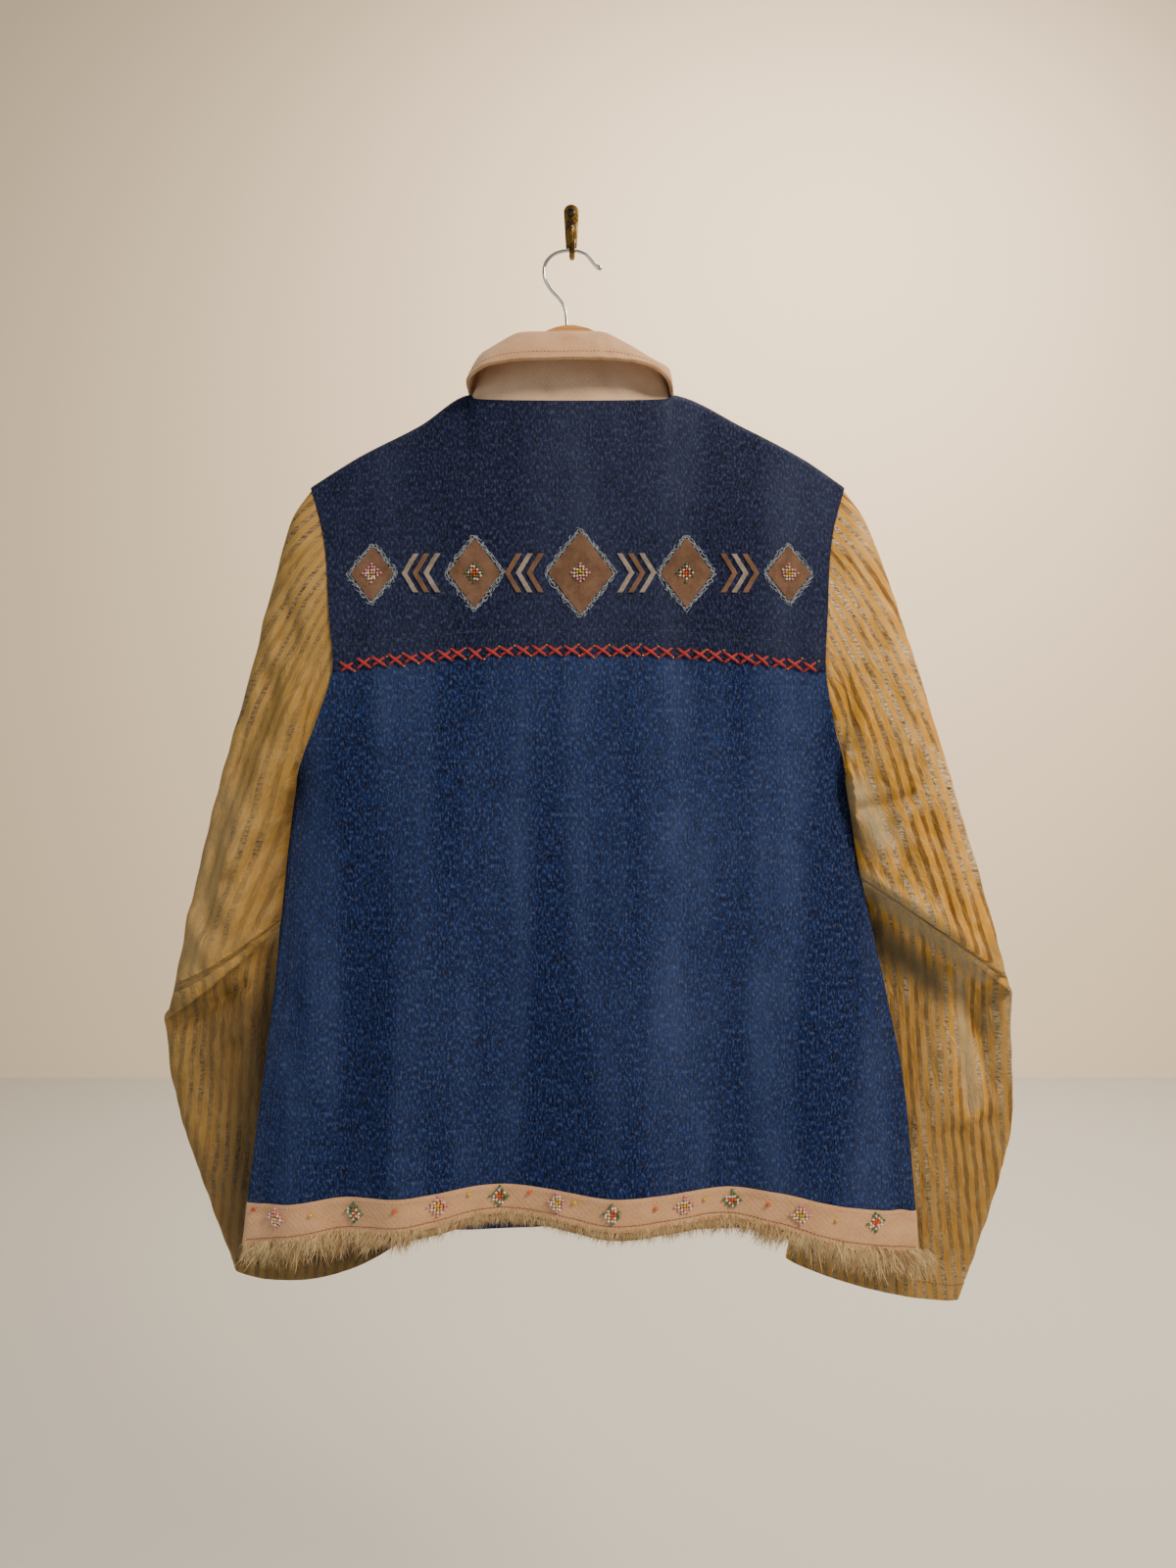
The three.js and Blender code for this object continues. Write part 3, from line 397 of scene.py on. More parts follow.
def curve_points(points, count):
    """Evenly spread points on a smooth curve through the given ones."""
    points = np.asarray(points, float)
    padded = np.vstack([2 * points[0] - points[1], points, 2 * points[-1] - points[-2]])
    pieces = []
    t = np.linspace(0, 1, 24, endpoint=False)[:, None]
    for a, b, c, d in zip(padded, padded[1:], padded[2:], padded[3:]):
        pieces.append(0.5 * (2 * b + (c - a) * t + (2 * a - 5 * b + 4 * c - d) * t * t
                             + (3 * b - a - 3 * c + d) * t ** 3))
    dense = np.vstack([*pieces, points[-1:]])
    length = np.concatenate([[0], np.cumsum(np.linalg.norm(np.diff(dense, axis=0), axis=1))])
    at = np.linspace(0, length[-1], count)
    return np.stack([np.interp(at, length, dense[:, k]) for k in range(3)], -1)


def plate(outline, y_front, thick, bevel):
    """A flat plate parallel to the wall, cut to an outline of (x, z) and extruded towards the wall."""
    bpy.ops.object.select_all(action="DESELECT")
    bpy.ops.mesh.primitive_circle_add(vertices=len(outline), radius=1, fill_type="NGON")
    obj = bpy.context.object
    for vertex, (x, z) in zip(obj.data.vertices, outline):
        vertex.co = (x * MM, y_front * MM, z * MM)
    select_only(obj)
    bpy.ops.object.mode_set(mode="EDIT")
    bpy.ops.mesh.select_all(action="SELECT")
    bpy.ops.mesh.extrude_region_move(TRANSFORM_OT_translate={"value": (0, thick * MM, 0)})
    bpy.ops.mesh.select_all(action="SELECT")
    bpy.ops.mesh.normals_make_consistent(inside=False)
    bpy.ops.object.mode_set(mode="OBJECT")
    apply_modifier(obj, "BEVEL", width=bevel * MM, segments=3, limit_method="ANGLE", angle_limit=math.radians(50))
    select_only(obj)
    bpy.ops.object.shade_smooth_by_angle(angle=math.radians(40))
    return obj


def read_mesh(obj):
    """Points and faces of a modelled object, which is then removed."""
    select_only(obj)
    bpy.ops.object.transform_apply(location=True, rotation=True, scale=True)
    points = np.array([v.co[:] for v in obj.data.vertices])
    faces = [tuple(p.vertices) for p in obj.data.polygons]
    bpy.data.objects.remove(obj)
    return points, faces


def copies(shape, places, tints=None):
    """One mesh of many copies of a modelled shape. A place is a 3 x 3 matrix and an offset in metres;
    a tint is a number that the material reads as the attribute "tint"."""
    points, faces = shape
    turns = np.array([m for m, _ in places])
    offsets = np.array([o for _, o in places])
    all_points = (np.einsum("nij,pj->npi", turns, points) + offsets[:, None]).reshape(-1, 3)
    mesh = bpy.data.meshes.new("copies")
    sizes = np.tile([len(f) for f in faces], len(places))
    loops = np.concatenate([np.concatenate([np.array(f) for f in faces]) + n * len(points)
                            for n in range(len(places))])
    mesh.vertices.add(len(all_points))
    mesh.vertices.foreach_set("co", all_points.ravel())
    mesh.loops.add(len(loops))
    mesh.loops.foreach_set("vertex_index", loops.astype(np.int32))
    mesh.polygons.add(len(sizes))
    mesh.polygons.foreach_set("loop_start", np.concatenate([[0], np.cumsum(sizes)[:-1]]).astype(np.int32))
    mesh.update(calc_edges=True)
    mesh.validate()
    if tints is not None:
        tint = mesh.attributes.new("tint", "FLOAT", "POINT")
        tint.data.foreach_set("value", np.repeat(np.asarray(tints, float), len(points)))
    obj = bpy.data.objects.new("copies", mesh)
    bpy.context.scene.collection.objects.link(obj)
    select_only(obj)
    bpy.ops.object.shade_smooth()
    return obj


def frame_at(x_axis, y_axis, scale=(1, 1, 1)):
    """A turn that lays a shape's X along x_axis and its Y as near to y_axis as it can."""
    x_axis = np.asarray(x_axis, float) / np.linalg.norm(x_axis)
    z_axis = np.cross(x_axis, y_axis)
    z_axis /= np.linalg.norm(z_axis)
    return np.stack([x_axis, np.cross(z_axis, x_axis), z_axis], 1) * np.asarray(scale)


def colour(code):
    """Linear RGBA of an sRGB hex value."""
    parts = [int(code[n:n + 2], 16) / 255 for n in (1, 3, 5)]
    return tuple(p / 12.92 if p <= 0.04045 else ((p + 0.055) / 1.055) ** 2.4 for p in parts) + (1.0,)


def new_material(name):
    material = bpy.data.materials.new(name)
    material.use_nodes = True
    tree = material.node_tree
    tree.nodes.clear()
    out = tree.nodes.new("ShaderNodeOutputMaterial")
    shader = tree.nodes.new("ShaderNodeBsdfPrincipled")
    tree.links.new(shader.outputs["BSDF"], out.inputs["Surface"])
    return material, tree, shader


def add(tree, kind, settings=None, **inputs):
    """Adds a node. An input is named, or i0, i1 and so on by its place; its value may be a number or colour, or
    another node's output socket."""
    node = tree.nodes.new("ShaderNode" + kind)
    for key, value in (settings or {}).items():
        setattr(node, key, value)
    for key, value in inputs.items():
        numbered = key[0] == "i" and key[1:].isdigit()
        socket = node.inputs[int(key[1:]) if numbered else key.replace("_", " ")]
        if isinstance(value, bpy.types.NodeSocket):
            tree.links.new(value, socket)
        else:
            socket.default_value = value
    return node


def ramp(tree, source, *stops):
    """A colour ramp of (place, hex colour or grey level)."""
    node = add(tree, "ValToRGB", i0=source)
    elements = node.color_ramp.elements
    while len(elements) < len(stops):
        elements.new(0.5)
    for element, (place, value) in zip(elements, stops):
        element.position = place
        element.color = colour(value) if isinstance(value, str) else (value, value, value, 1)
    return node.outputs["Color"]


def blend_colours(tree, share, a, b):
    """Colour a where share is 0, and b where it is 1."""
    node = add(tree, "Mix", {"data_type": "RGBA"})
    for socket, value in ((node.inputs[0], share), (node.inputs[6], a), (node.inputs[7], b)):
        if isinstance(value, bpy.types.NodeSocket):
            tree.links.new(value, socket)
        else:
            socket.default_value = colour(value) if isinstance(value, str) else value
    return node.outputs[2]


def bumps(tree, shader, *layers):
    """Chains height fields into the shader's normal, each with its height in millimetres."""
    normal = None
    for height, depth in layers:
        node = add(tree, "Bump", Strength=1.0, Distance=depth * MM, Height=height)
        if normal:
            tree.links.new(normal, node.inputs["Normal"])
        normal = node.outputs["Normal"]
    tree.links.new(normal, shader.inputs["Normal"])


def cloth_place(tree, across, up):
    """The piece's own UV map, in units of a pattern that is across and up millimetres large."""
    place = add(tree, "UVMap")
    node = add(tree, "Mapping", Vector=place.outputs["UV"])
    node.inputs["Scale"].default_value = (1 / (across * MM), 1 / (up * MM), 1)
    return node.outputs["Vector"]


def object_place(tree, size_x, size_y, size_z):
    """Object coordinates, in units of a pattern of that size in millimetres."""
    place = add(tree, "TexCoord")
    node = add(tree, "Mapping", Vector=place.outputs["Object"])
    node.inputs["Scale"].default_value = (1 / (size_x * MM), 1 / (size_y * MM), 1 / (size_z * MM))
    return node.outputs["Vector"]


def grain(tree, place, detail, roughness=0.5, distortion=0.0):
    return add(tree, "TexNoise", Vector=place, Scale=1.0, Detail=detail, Roughness=roughness,
               Distortion=distortion).outputs["Fac"]


def washed_denim(name, dark, mid, pale, fade):
    """Indigo warp over a white weft, washed: the warp's slubs show as fine upright streaks, and the pale weft as
    flecks. Broad, soft upright strips are paler, partly from the wash's fading and partly as painted sheen standing
    for light on the long folds' ridges. Thread spacing is about 0.6 mm, drawn 1.5 mm so that it shows at this
    distance."""
    material, tree, shader = new_material(name)
    streaks = grain(tree, cloth_place(tree, 1.7, 11.0), 4.0, 0.7)
    flecks = grain(tree, cloth_place(tree, 1.5, 3.6), 3.0, 0.75)
    fade_and_sheen_bands = grain(tree, cloth_place(tree, 60, 520), 2.0, 0.5)
    clouds = grain(tree, cloth_place(tree, 30, 60), 3.0, 0.6)
    base = blend_colours(tree, ramp(tree, streaks, (0.38, 0.0), (0.64, 1.0)), dark, mid)
    weft = ramp(tree, flecks, (0.5, 0.0), (0.74, 0.75))
    base = blend_colours(tree, weft, base, pale)
    # paler upright strips: the wash's fading, and painted sheen of the fold ridges
    washed = add(tree, "Math", {"operation": "MULTIPLY"}, i0=ramp(tree, fade_and_sheen_bands, (0.42, 0.0), (0.7, 1.0)),
                 i1=ramp(tree, clouds, (0.3, 0.4), (0.7, 1.0)))
    washed = add(tree, "Math", {"operation": "MULTIPLY"}, i0=washed.outputs[0], i1=fade)
    base = blend_colours(tree, washed.outputs[0], base, pale)
    tree.links.new(base, shader.inputs["Base Color"])
    shader.inputs["Roughness"].default_value = 0.88
    shader.inputs["Specular IOR Level"].default_value = 0.12
    twill = add(tree, "TexWave", {"wave_type": "BANDS", "bands_direction": "DIAGONAL"},
                Vector=cloth_place(tree, 9.0, 9.0), Scale=1.0, Distortion=1.5, Detail=2.0).outputs["Fac"]
    bumps(tree, shader, (streaks, 0.25), (flecks, 0.2), (twill, 0.12))
    return material


STRIPE_PITCH = 7.9


def striped_velvet(name, gold, brown, silver, worn, shade, crushed, painted_highlight="#a89c7c"):
    """Crushed velvet in raised brown stripes on a flat gold ground. The pile lies every way, so each stripe is broken
    by pale, silvery patches, which are the crushed and worn cloth's pattern with the pile's sheen painted in as
    colour. Its fourth and fifth colours are painted shade and painted highlight, laid on where the sleeve's
    painted-light attribute says."""
    material, tree, shader = new_material(name)
    wobble = grain(tree, cloth_place(tree, 40, 55), 2.0, 0.5)
    place = add(tree, "UVMap").outputs["UV"]
    split = add(tree, "SeparateXYZ", Vector=place)
    shift = add(tree, "Math", {"operation": "MULTIPLY_ADD"}, i0=wobble, i1=0.0015, i2=split.outputs["X"])
    turns = add(tree, "Math", {"operation": "MULTIPLY"}, i0=shift.outputs[0], i1=2 * math.pi / (STRIPE_PITCH * MM))
    wave = add(tree, "Math", {"operation": "SINE"}, i0=turns.outputs[0]).outputs[0]
    edges = grain(tree, cloth_place(tree, 1.4, 3.6), 4.0, 0.8)
    ragged = add(tree, "Math", {"operation": "MULTIPLY_ADD"}, i0=edges, i1=1.4, i2=wave)
    stripe = ramp(tree, add(tree, "Math", {"operation": "MULTIPLY_ADD"}, i0=ragged.outputs[0], i1=0.5, i2=0.0)
                  .outputs[0], (0.36, 0.0), (0.56, 1.0))
    crush = grain(tree, cloth_place(tree, 5, 16), 4.0, 0.65, 0.8)
    patches = grain(tree, cloth_place(tree, 34, 70), 3.0, 0.6, 0.5)
    fine = grain(tree, cloth_place(tree, 1.8, 5.0), 4.0, 0.75)
    pile = grain(tree, cloth_place(tree, 4.0, 1.7), 3.0, 0.7, 0.6)
    # silvery tones where the pile is crushed: the crushed cloth's pattern, with the pile's sheen painted in as colour
    gold_tone = blend_colours(tree, ramp(tree, crush, (0.45, 0.0), (0.8, 0.4)), gold, silver)
    brown_tone = blend_colours(tree, ramp(tree, crush, (0.42, 0.0), (0.8, 0.5)), brown, gold)
    flat = add(tree, "Math", {"operation": "MULTIPLY"}, i0=ramp(tree, patches, (0.5, 1.0), (0.62, 0.0)),
               i1=crushed).outputs[0]
    kept = add(tree, "Math", {"operation": "SUBTRACT"}, i0=1.0, i1=flat).outputs[0]
    strength = add(tree, "Math", {"operation": "MULTIPLY"}, i0=stripe, i1=kept).outputs[0]
    base = blend_colours(tree, strength, gold_tone, brown_tone)
    # pale silvery breaks in the stripes: crushed and worn pile, with its sheen painted in as colour
    broken = add(tree, "Math", {"operation": "MULTIPLY"}, i0=ramp(tree, patches, (0.42, 0.0), (0.62, 1.0)),
                 i1=ramp(tree, pile, (0.36, 0.0), (0.6, 1.0)))
    raised = ramp(tree, stripe, (0.0, 0.15 * worn), (1.0, worn))
    broken = add(tree, "Math", {"operation": "MULTIPLY"}, i0=broken.outputs[0], i1=raised)
    base = blend_colours(tree, broken.outputs[0], base, silver)
    # painted shade where the attribute is above 0, painted highlight where it is below 0
    turned = add(tree, "Attribute", {"attribute_name": "painted_shade_and_highlight"}).outputs["Fac"]
    base = blend_colours(tree, turned, base, shade)
    towards = add(tree, "Math", {"operation": "MULTIPLY", "use_clamp": True}, i0=turned, i1=-1.0)
    base = blend_colours(tree, towards.outputs[0], base, painted_highlight)
    tree.links.new(base, shader.inputs["Base Color"])
    shader.inputs["Roughness"].default_value = 0.62
    shader.inputs["Sheen Weight"].default_value = 0.12
    shader.inputs["Sheen Roughness"].default_value = 0.35
    shader.inputs["Sheen Tint"].default_value = colour("#dfb865")
    bumps(tree, shader, (stripe, 0.06), (crush, 2.3), (fine, 0.14))
    return material


def cotton_twill(name, base, worn):
    """Brushed cotton twill: fine diagonal ribs 1 mm apart, slightly faded where it was handled."""
    material, tree, shader = new_material(name)
    ribs = add(tree, "TexWave", {"wave_type": "BANDS", "bands_direction": "DIAGONAL"},
               Vector=cloth_place(tree, 7.5, 7.5), Scale=1.0, Distortion=2.0, Detail=2.0,
               Detail_Scale=3.0).outputs["Fac"]
    fibres = grain(tree, cloth_place(tree, 1.4, 1.8), 3.0, 0.7)
    clouds = grain(tree, cloth_place(tree, 24, 18), 4.0, 0.6)
    tone = add(tree, "Math", {"operation": "MULTIPLY_ADD"}, i0=clouds, i1=0.8, i2=fibres)
    base = blend_colours(tree, ramp(tree, tone.outputs[0], (0.6, 0.0), (1.15, 1.0)), base, worn)
    tree.links.new(base, shader.inputs["Base Color"])
    shader.inputs["Roughness"].default_value = 0.9
    shader.inputs["Sheen Weight"].default_value = 0.25
    bumps(tree, shader, (ribs, 0.1), (fibres, 0.22), (clouds, 0.5))
    return material


def soft_suede(name, base, worn):
    """Thin split suede: short nap with rubbed, paler places, and painted shade in the nap's hollows."""
    material, tree, shader = new_material(name)
    nap = grain(tree, object_place(tree, 1.0, 1.0, 1.0), 3.0, 0.7)
    rubbed = grain(tree, object_place(tree, 9, 9, 11), 4.0, 0.65)
    mixed = blend_colours(tree, ramp(tree, rubbed, (0.35, 0.0), (0.7, 1.0)), base, worn)
    # painted shade where the nap is low
    mixed = blend_colours(tree, ramp(tree, nap, (0.3, 0.35), (0.6, 0.0)), mixed, "#3f2d22")
    tree.links.new(mixed, shader.inputs["Base Color"])
    shader.inputs["Roughness"].default_value = 0.95
    shader.inputs["Sheen Weight"].default_value = 0.35
    bumps(tree, shader, (nap, 0.25), (rubbed, 0.3))
    return material


def hair(name, root, tip, grey):
    """Animal hair: cream with tan and grey locks. The attribute "tint" tells one hair from another."""
    material, tree, shader = new_material(name)
    tint = add(tree, "Attribute", {"attribute_name": "tint"}).outputs["Fac"]
    tone = ramp(tree, tint, (0.0, root), (0.45, tip), (0.78, tip), (1.0, grey))
    locks = grain(tree, object_place(tree, 12, 12, 20), 2.0)
    tone = blend_colours(tree, ramp(tree, locks, (0.45, 0.0), (0.7, 0.45)), tone, root)
    tree.links.new(tone, shader.inputs["Base Color"])
    shader.inputs["Roughness"].default_value = 0.55
    shader.inputs["Sheen Weight"].default_value = 0.3
    return material


def spun_thread(name, code, roughness=0.6):
    """Plied cotton thread: the twist shows as fine slanted ridges 1 mm apart."""
    material, tree, shader = new_material(name)
    twist = add(tree, "TexWave", {"wave_type": "BANDS", "bands_direction": "DIAGONAL"},
                Vector=object_place(tree, 3.0, 3.0, 3.0), Scale=1.0, Distortion=0.5).outputs["Fac"]
    fluff = grain(tree, object_place(tree, 1.2, 1.2, 1.2), 2.0)
    tone = blend_colours(tree, ramp(tree, fluff, (0.35, 0.45), (0.6, 0.0)), code, "#1d1716")
    # darker in the twist's grooves: painted shade
    tone = blend_colours(tree, ramp(tree, twist, (0.0, 0.25), (0.4, 0.0)), tone, "#1d1716")
    tree.links.new(tone, shader.inputs["Base Color"])
    shader.inputs["Roughness"].default_value = roughness
    shader.inputs["Sheen Weight"].default_value = 0.2
    bumps(tree, shader, (twist, 0.15))
    return material


def glass_beads(name):
    """Seed beads of opaque pressed glass; the attribute "tint" holds each bead's own colour."""
    material, tree, shader = new_material(name)
    tint = add(tree, "Attribute", {"attribute_name": "tint"}).outputs["Fac"]
    tone = ramp(tree, tint, *[((n + 0.5) / len(BEAD_COLOURS), code) for n, code in enumerate(BEAD_COLOURS.values())])
    tree.nodes["Color Ramp"].color_ramp.interpolation = "CONSTANT"
    for n, element in enumerate(tree.nodes["Color Ramp"].color_ramp.elements):
        element.position = n / len(BEAD_COLOURS)
    uneven = grain(tree, object_place(tree, 2.0, 2.0, 2.0), 1.0)
    tone = blend_colours(tree, ramp(tree, uneven, (0.35, 0.25), (0.6, 0.0)), tone, "#2a211c")
    tree.links.new(tone, shader.inputs["Base Color"])
    shader.inputs["Roughness"].default_value = 0.18
    shader.inputs["IOR"].default_value = 1.52
    shader.inputs["Coat Weight"].default_value = 0.4
    return material


def lacquered_beech(name):
    """Steamed beech under clear lacquer: close straight grain with short darker flecks."""
    material, tree, shader = new_material(name)
    rings = add(tree, "TexWave", {"wave_type": "BANDS", "bands_direction": "Z"},
                Vector=object_place(tree, 60, 8, 9), Scale=1.0, Distortion=3.5, Detail=3.0).outputs["Fac"]
    flecks = grain(tree, object_place(tree, 6, 0.8, 0.8), 2.0)
    tone = blend_colours(tree, ramp(tree, rings, (0.1, 0.0), (0.9, 0.7)), "#d6a464", "#b07a3c")
    tone = blend_colours(tree, ramp(tree, flecks, (0.55, 0.0), (0.75, 0.6)), tone, "#7e4a1e")
    tree.links.new(tone, shader.inputs["Base Color"])
    shader.inputs["Roughness"].default_value = 0.42
    shader.inputs["IOR"].default_value = 1.5
    shader.inputs["Coat Weight"].default_value = 0.5
    shader.inputs["Coat Roughness"].default_value = 0.18
    bumps(tree, shader, (flecks, 0.04), (rings, 0.05))
    return material


def bright_chrome(name):
    """Nickel-chrome plate on drawn wire: mirror bright with faint drawing lines."""
    material, tree, shader = new_material(name)
    shader.inputs["Metallic"].default_value = 1.0
    shader.inputs["Base Color"].default_value = colour("#d9dadd")
    haze = grain(tree, object_place(tree, 3, 3, 6), 2.0)
    tree.links.new(ramp(tree, haze, (0.3, 0.07), (0.8, 0.2)), shader.inputs["Roughness"])
    bumps(tree, shader, (haze, 0.02))
    return material


def aged_brass(name, bright="#957a42", dark="#3b2d14"):
    """Cast brass left to age: bright where it is rubbed, brown in the hollows."""
    material, tree, shader = new_material(name)
    shader.inputs["Metallic"].default_value = 1.0
    tarnish = grain(tree, object_place(tree, 5, 5, 7), 5.0, 0.65)
    spots = grain(tree, object_place(tree, 1.2, 1.2, 1.2), 3.0, 0.6)
    tone = blend_colours(tree, ramp(tree, tarnish, (0.36, 0.0), (0.62, 1.0)), dark, bright)
    tone = blend_colours(tree, ramp(tree, spots, (0.6, 0.0), (0.75, 0.7)), tone, dark)
    tree.links.new(tone, shader.inputs["Base Color"])
    tree.links.new(ramp(tree, tarnish, (0.3, 0.55), (0.7, 0.28)), shader.inputs["Roughness"])
    bumps(tree, shader, (spots, 0.06), (tarnish, 0.1))
    return material


def dark_steel(name):
    """Blackened steel screw, worn to bare metal on the edges of its slots."""
    material, tree, shader = new_material(name)
    shader.inputs["Metallic"].default_value = 0.9
    worn = grain(tree, object_place(tree, 1.5, 1.5, 1.5), 3.0)
    tree.links.new(ramp(tree, worn, (0.4, "#1d1916"), (0.75, "#6b6257")), shader.inputs["Base Color"])
    tree.links.new(ramp(tree, worn, (0.4, 0.6), (0.75, 0.35)), shader.inputs["Roughness"])
    bumps(tree, shader, (worn, 0.06))
    return material


def matt_paint(name, code):
    """Matt emulsion on plaster, for the floor and the backdrop."""
    material, _, shader = new_material(name)
    shader.inputs["Roughness"].default_value = 0.95
    shader.inputs["Base Color"].default_value = colour(code)
    return material


# Bead colours, and the place of each as a share that a copy carries in "tint".
BEAD_COLOURS = {"pink": "#e79ab5", "white": "#efe9df", "yellow": "#e8c22e", "green": "#2f7a55", "orange": "#e2541f",
                "red": "#c8202f", "brass": "#c99b35", "black": "#15131a"}


def bead_tint(name):
    return (list(BEAD_COLOURS).index(name) + 0.5) / len(BEAD_COLOURS)


# Cloth surfaces.

SIDE_COLUMNS, NECK_COLUMNS, EDGE_SPACING = 44, 44, 1.7
BACK_SIDE_END_Z, FRONT_SIDE_END_Z = -788, -816  # where the denim ends at the side seams
STITCH_RISE = 15.5  # the yoke's topstitching lies this far above its seam


def across_x(left, right):
    """Columns over the body for each row: close together at the side edges, even over the neck."""
    near = (np.arange(SIDE_COLUMNS) / SIDE_COLUMNS) ** EDGE_SPACING
    middle = np.arange(NECK_COLUMNS + 1) / NECK_COLUMNS
    left, right = np.asarray(left, float)[:, None], np.asarray(right, float)[:, None]
    return np.hstack([mix(left, -NECK_HALF, near), np.broadcast_to(mix(-NECK_HALF, NECK_HALF, middle),
                                                                   (len(left), NECK_COLUMNS + 1)),
                      mix(right, NECK_HALF, near)[:, ::-1]])


def flat_uv(points):
    """A place on the flat cloth: across it, and up it."""
    return np.stack([points[..., 0] * MM, points[..., 2] * MM], -1)


def back_panel(edge_z, z_of):
    """Rows of a back panel. edge_z is each row's height at the side edges, z_of gives it over the columns."""
    x = across_x(edge_x("left", edge_z), edge_x("right", edge_z))
    return body_points("back", x, z_of(x))


def lower_back_points():
    rows = 104
    shares = np.linspace(0, 1, rows, endpoint=False)
    steps = np.linspace(ARM_STEPS, YOKE_STEP, 40)
    edge_z = np.concatenate([mix(BACK_SIDE_END_Z, PIT_Z, shares), armhole_z(steps)])

    def z_of(x):
        below = mix(denim_end_z(x[:rows]), PIT_Z, shares[:, None])
        rise = (armhole_z(steps) - PIT_Z) / (YOKE_END_Z - PIT_Z)
        above = mix(PIT_Z, yoke_z(x[rows:]) - 0.3, rise[:, None])
        return np.vstack([below, above])
    points = back_panel(edge_z, z_of)
    # the top edge lies a little lower than the yoke that is sewn over it
    points[..., 1] += 0.9 * smooth((points[..., 2] - (yoke_z(points[..., 0]) - 5)) / 4)
    return points


def yoke_points():
    steps = np.linspace(YOKE_STEP, 0, 90)
    edge_z = armhole_z(steps)
    share = ((edge_z - YOKE_END_Z) / (TIP_Z - YOKE_END_Z))[:, None]
    points = back_panel(edge_z, lambda x: mix(yoke_z(x) - 3.0 * (1 - share) ** 6, top_z("back", x), share))
    above = points[..., 2] - yoke_z(points[..., 0])
    # a turned seam allowance lifts the lower edge, and its stitch line lies in a groove
    points[..., 1] -= 0.9 * smooth((18 - above) / 5) - 0.7 * bump(above - STITCH_RISE, 1.6)
    return points


def front_points(side):
    upper = side == "left"
    reach, neck = (PLACKET_HALF, -NECK_HALF) if upper else (-PLACKET_HALF, NECK_HALF)
    rows, armhole_rows, side_columns, middle_columns = 60, 50, 34, 30
    shares, steps = np.linspace(0, 1, rows, endpoint=False), np.linspace(ARM_STEPS, 0, armhole_rows)
    edge_z = np.concatenate([mix(FRONT_SIDE_END_Z, PIT_Z, shares), armhole_z(steps)])
    edge = edge_x(side, edge_z)[:, None]
    near = (np.arange(side_columns) / side_columns)[None] ** EDGE_SPACING
    middle = mix(neck, reach, np.arange(middle_columns + 1) / middle_columns)
    x = np.hstack([mix(edge, neck, near), np.broadcast_to(middle, (len(edge), len(middle)))])
    rise = ((armhole_z(steps) - PIT_Z) / (TIP_Z - PIT_Z))[:, None]
    z = np.vstack([np.broadcast_to(mix(FRONT_HEM_Z, PIT_Z, shares[:, None]), (rows, x.shape[1])),
                   mix(PIT_Z, top_z("front", x[rows:]), rise)])
    over = smooth((36 - np.abs(x)) / 16) * PLACKET_LIFT * (0.5 if upper else -0.5)
    points = body_points("front", x, z, over)
    return points[:, ::-1] if upper else points


def held_off(points, face, gap):
    """Keeps a panel on its own side of the seam plane."""
    seam = along(DEPTH, "z", "seam", points[..., 2])
    if face == "back":
        points[..., 1] = np.minimum(points[..., 1], seam - gap)
    else:
        points[..., 1] = np.maximum(points[..., 1], seam + gap)
    return points


def strip_points(high, low, rows):
    """A strip that hangs on from the lower back between two heights, given as functions of x."""
    share, side_x = np.linspace(0, 1, rows)[:, None], np.array(262.0)
    edge_z = mix(float(low(side_x)), float(high(side_x)), share[:, 0])
    x = across_x(edge_x("left", edge_z), edge_x("right", edge_z))
    z = mix(low(x), high(x), share)
    return body_points("back", x, z)


def armhole_loop(side, turn):
    """The armhole's middle line: from the shoulder tip down the back, and up the front."""
    step = np.where(turn <= np.pi, turn, 2 * np.pi - turn) * ARM_STEPS / np.pi
    z = armhole_z(step)
    x = edge_x(side, z)
    back, front = body_points("back", x, z), body_points("front", x, z)
    loop = np.where((turn <= np.pi)[:, None], back, front)
    ends = np.isclose(step, 0) | np.isclose(step, ARM_STEPS)
    loop[ends] = (back[ends] + front[ends]) / 2
    return loop


SLEEVE_AROUND, ROWS_A_RING, ARM_RINGS = 128, 12, 16


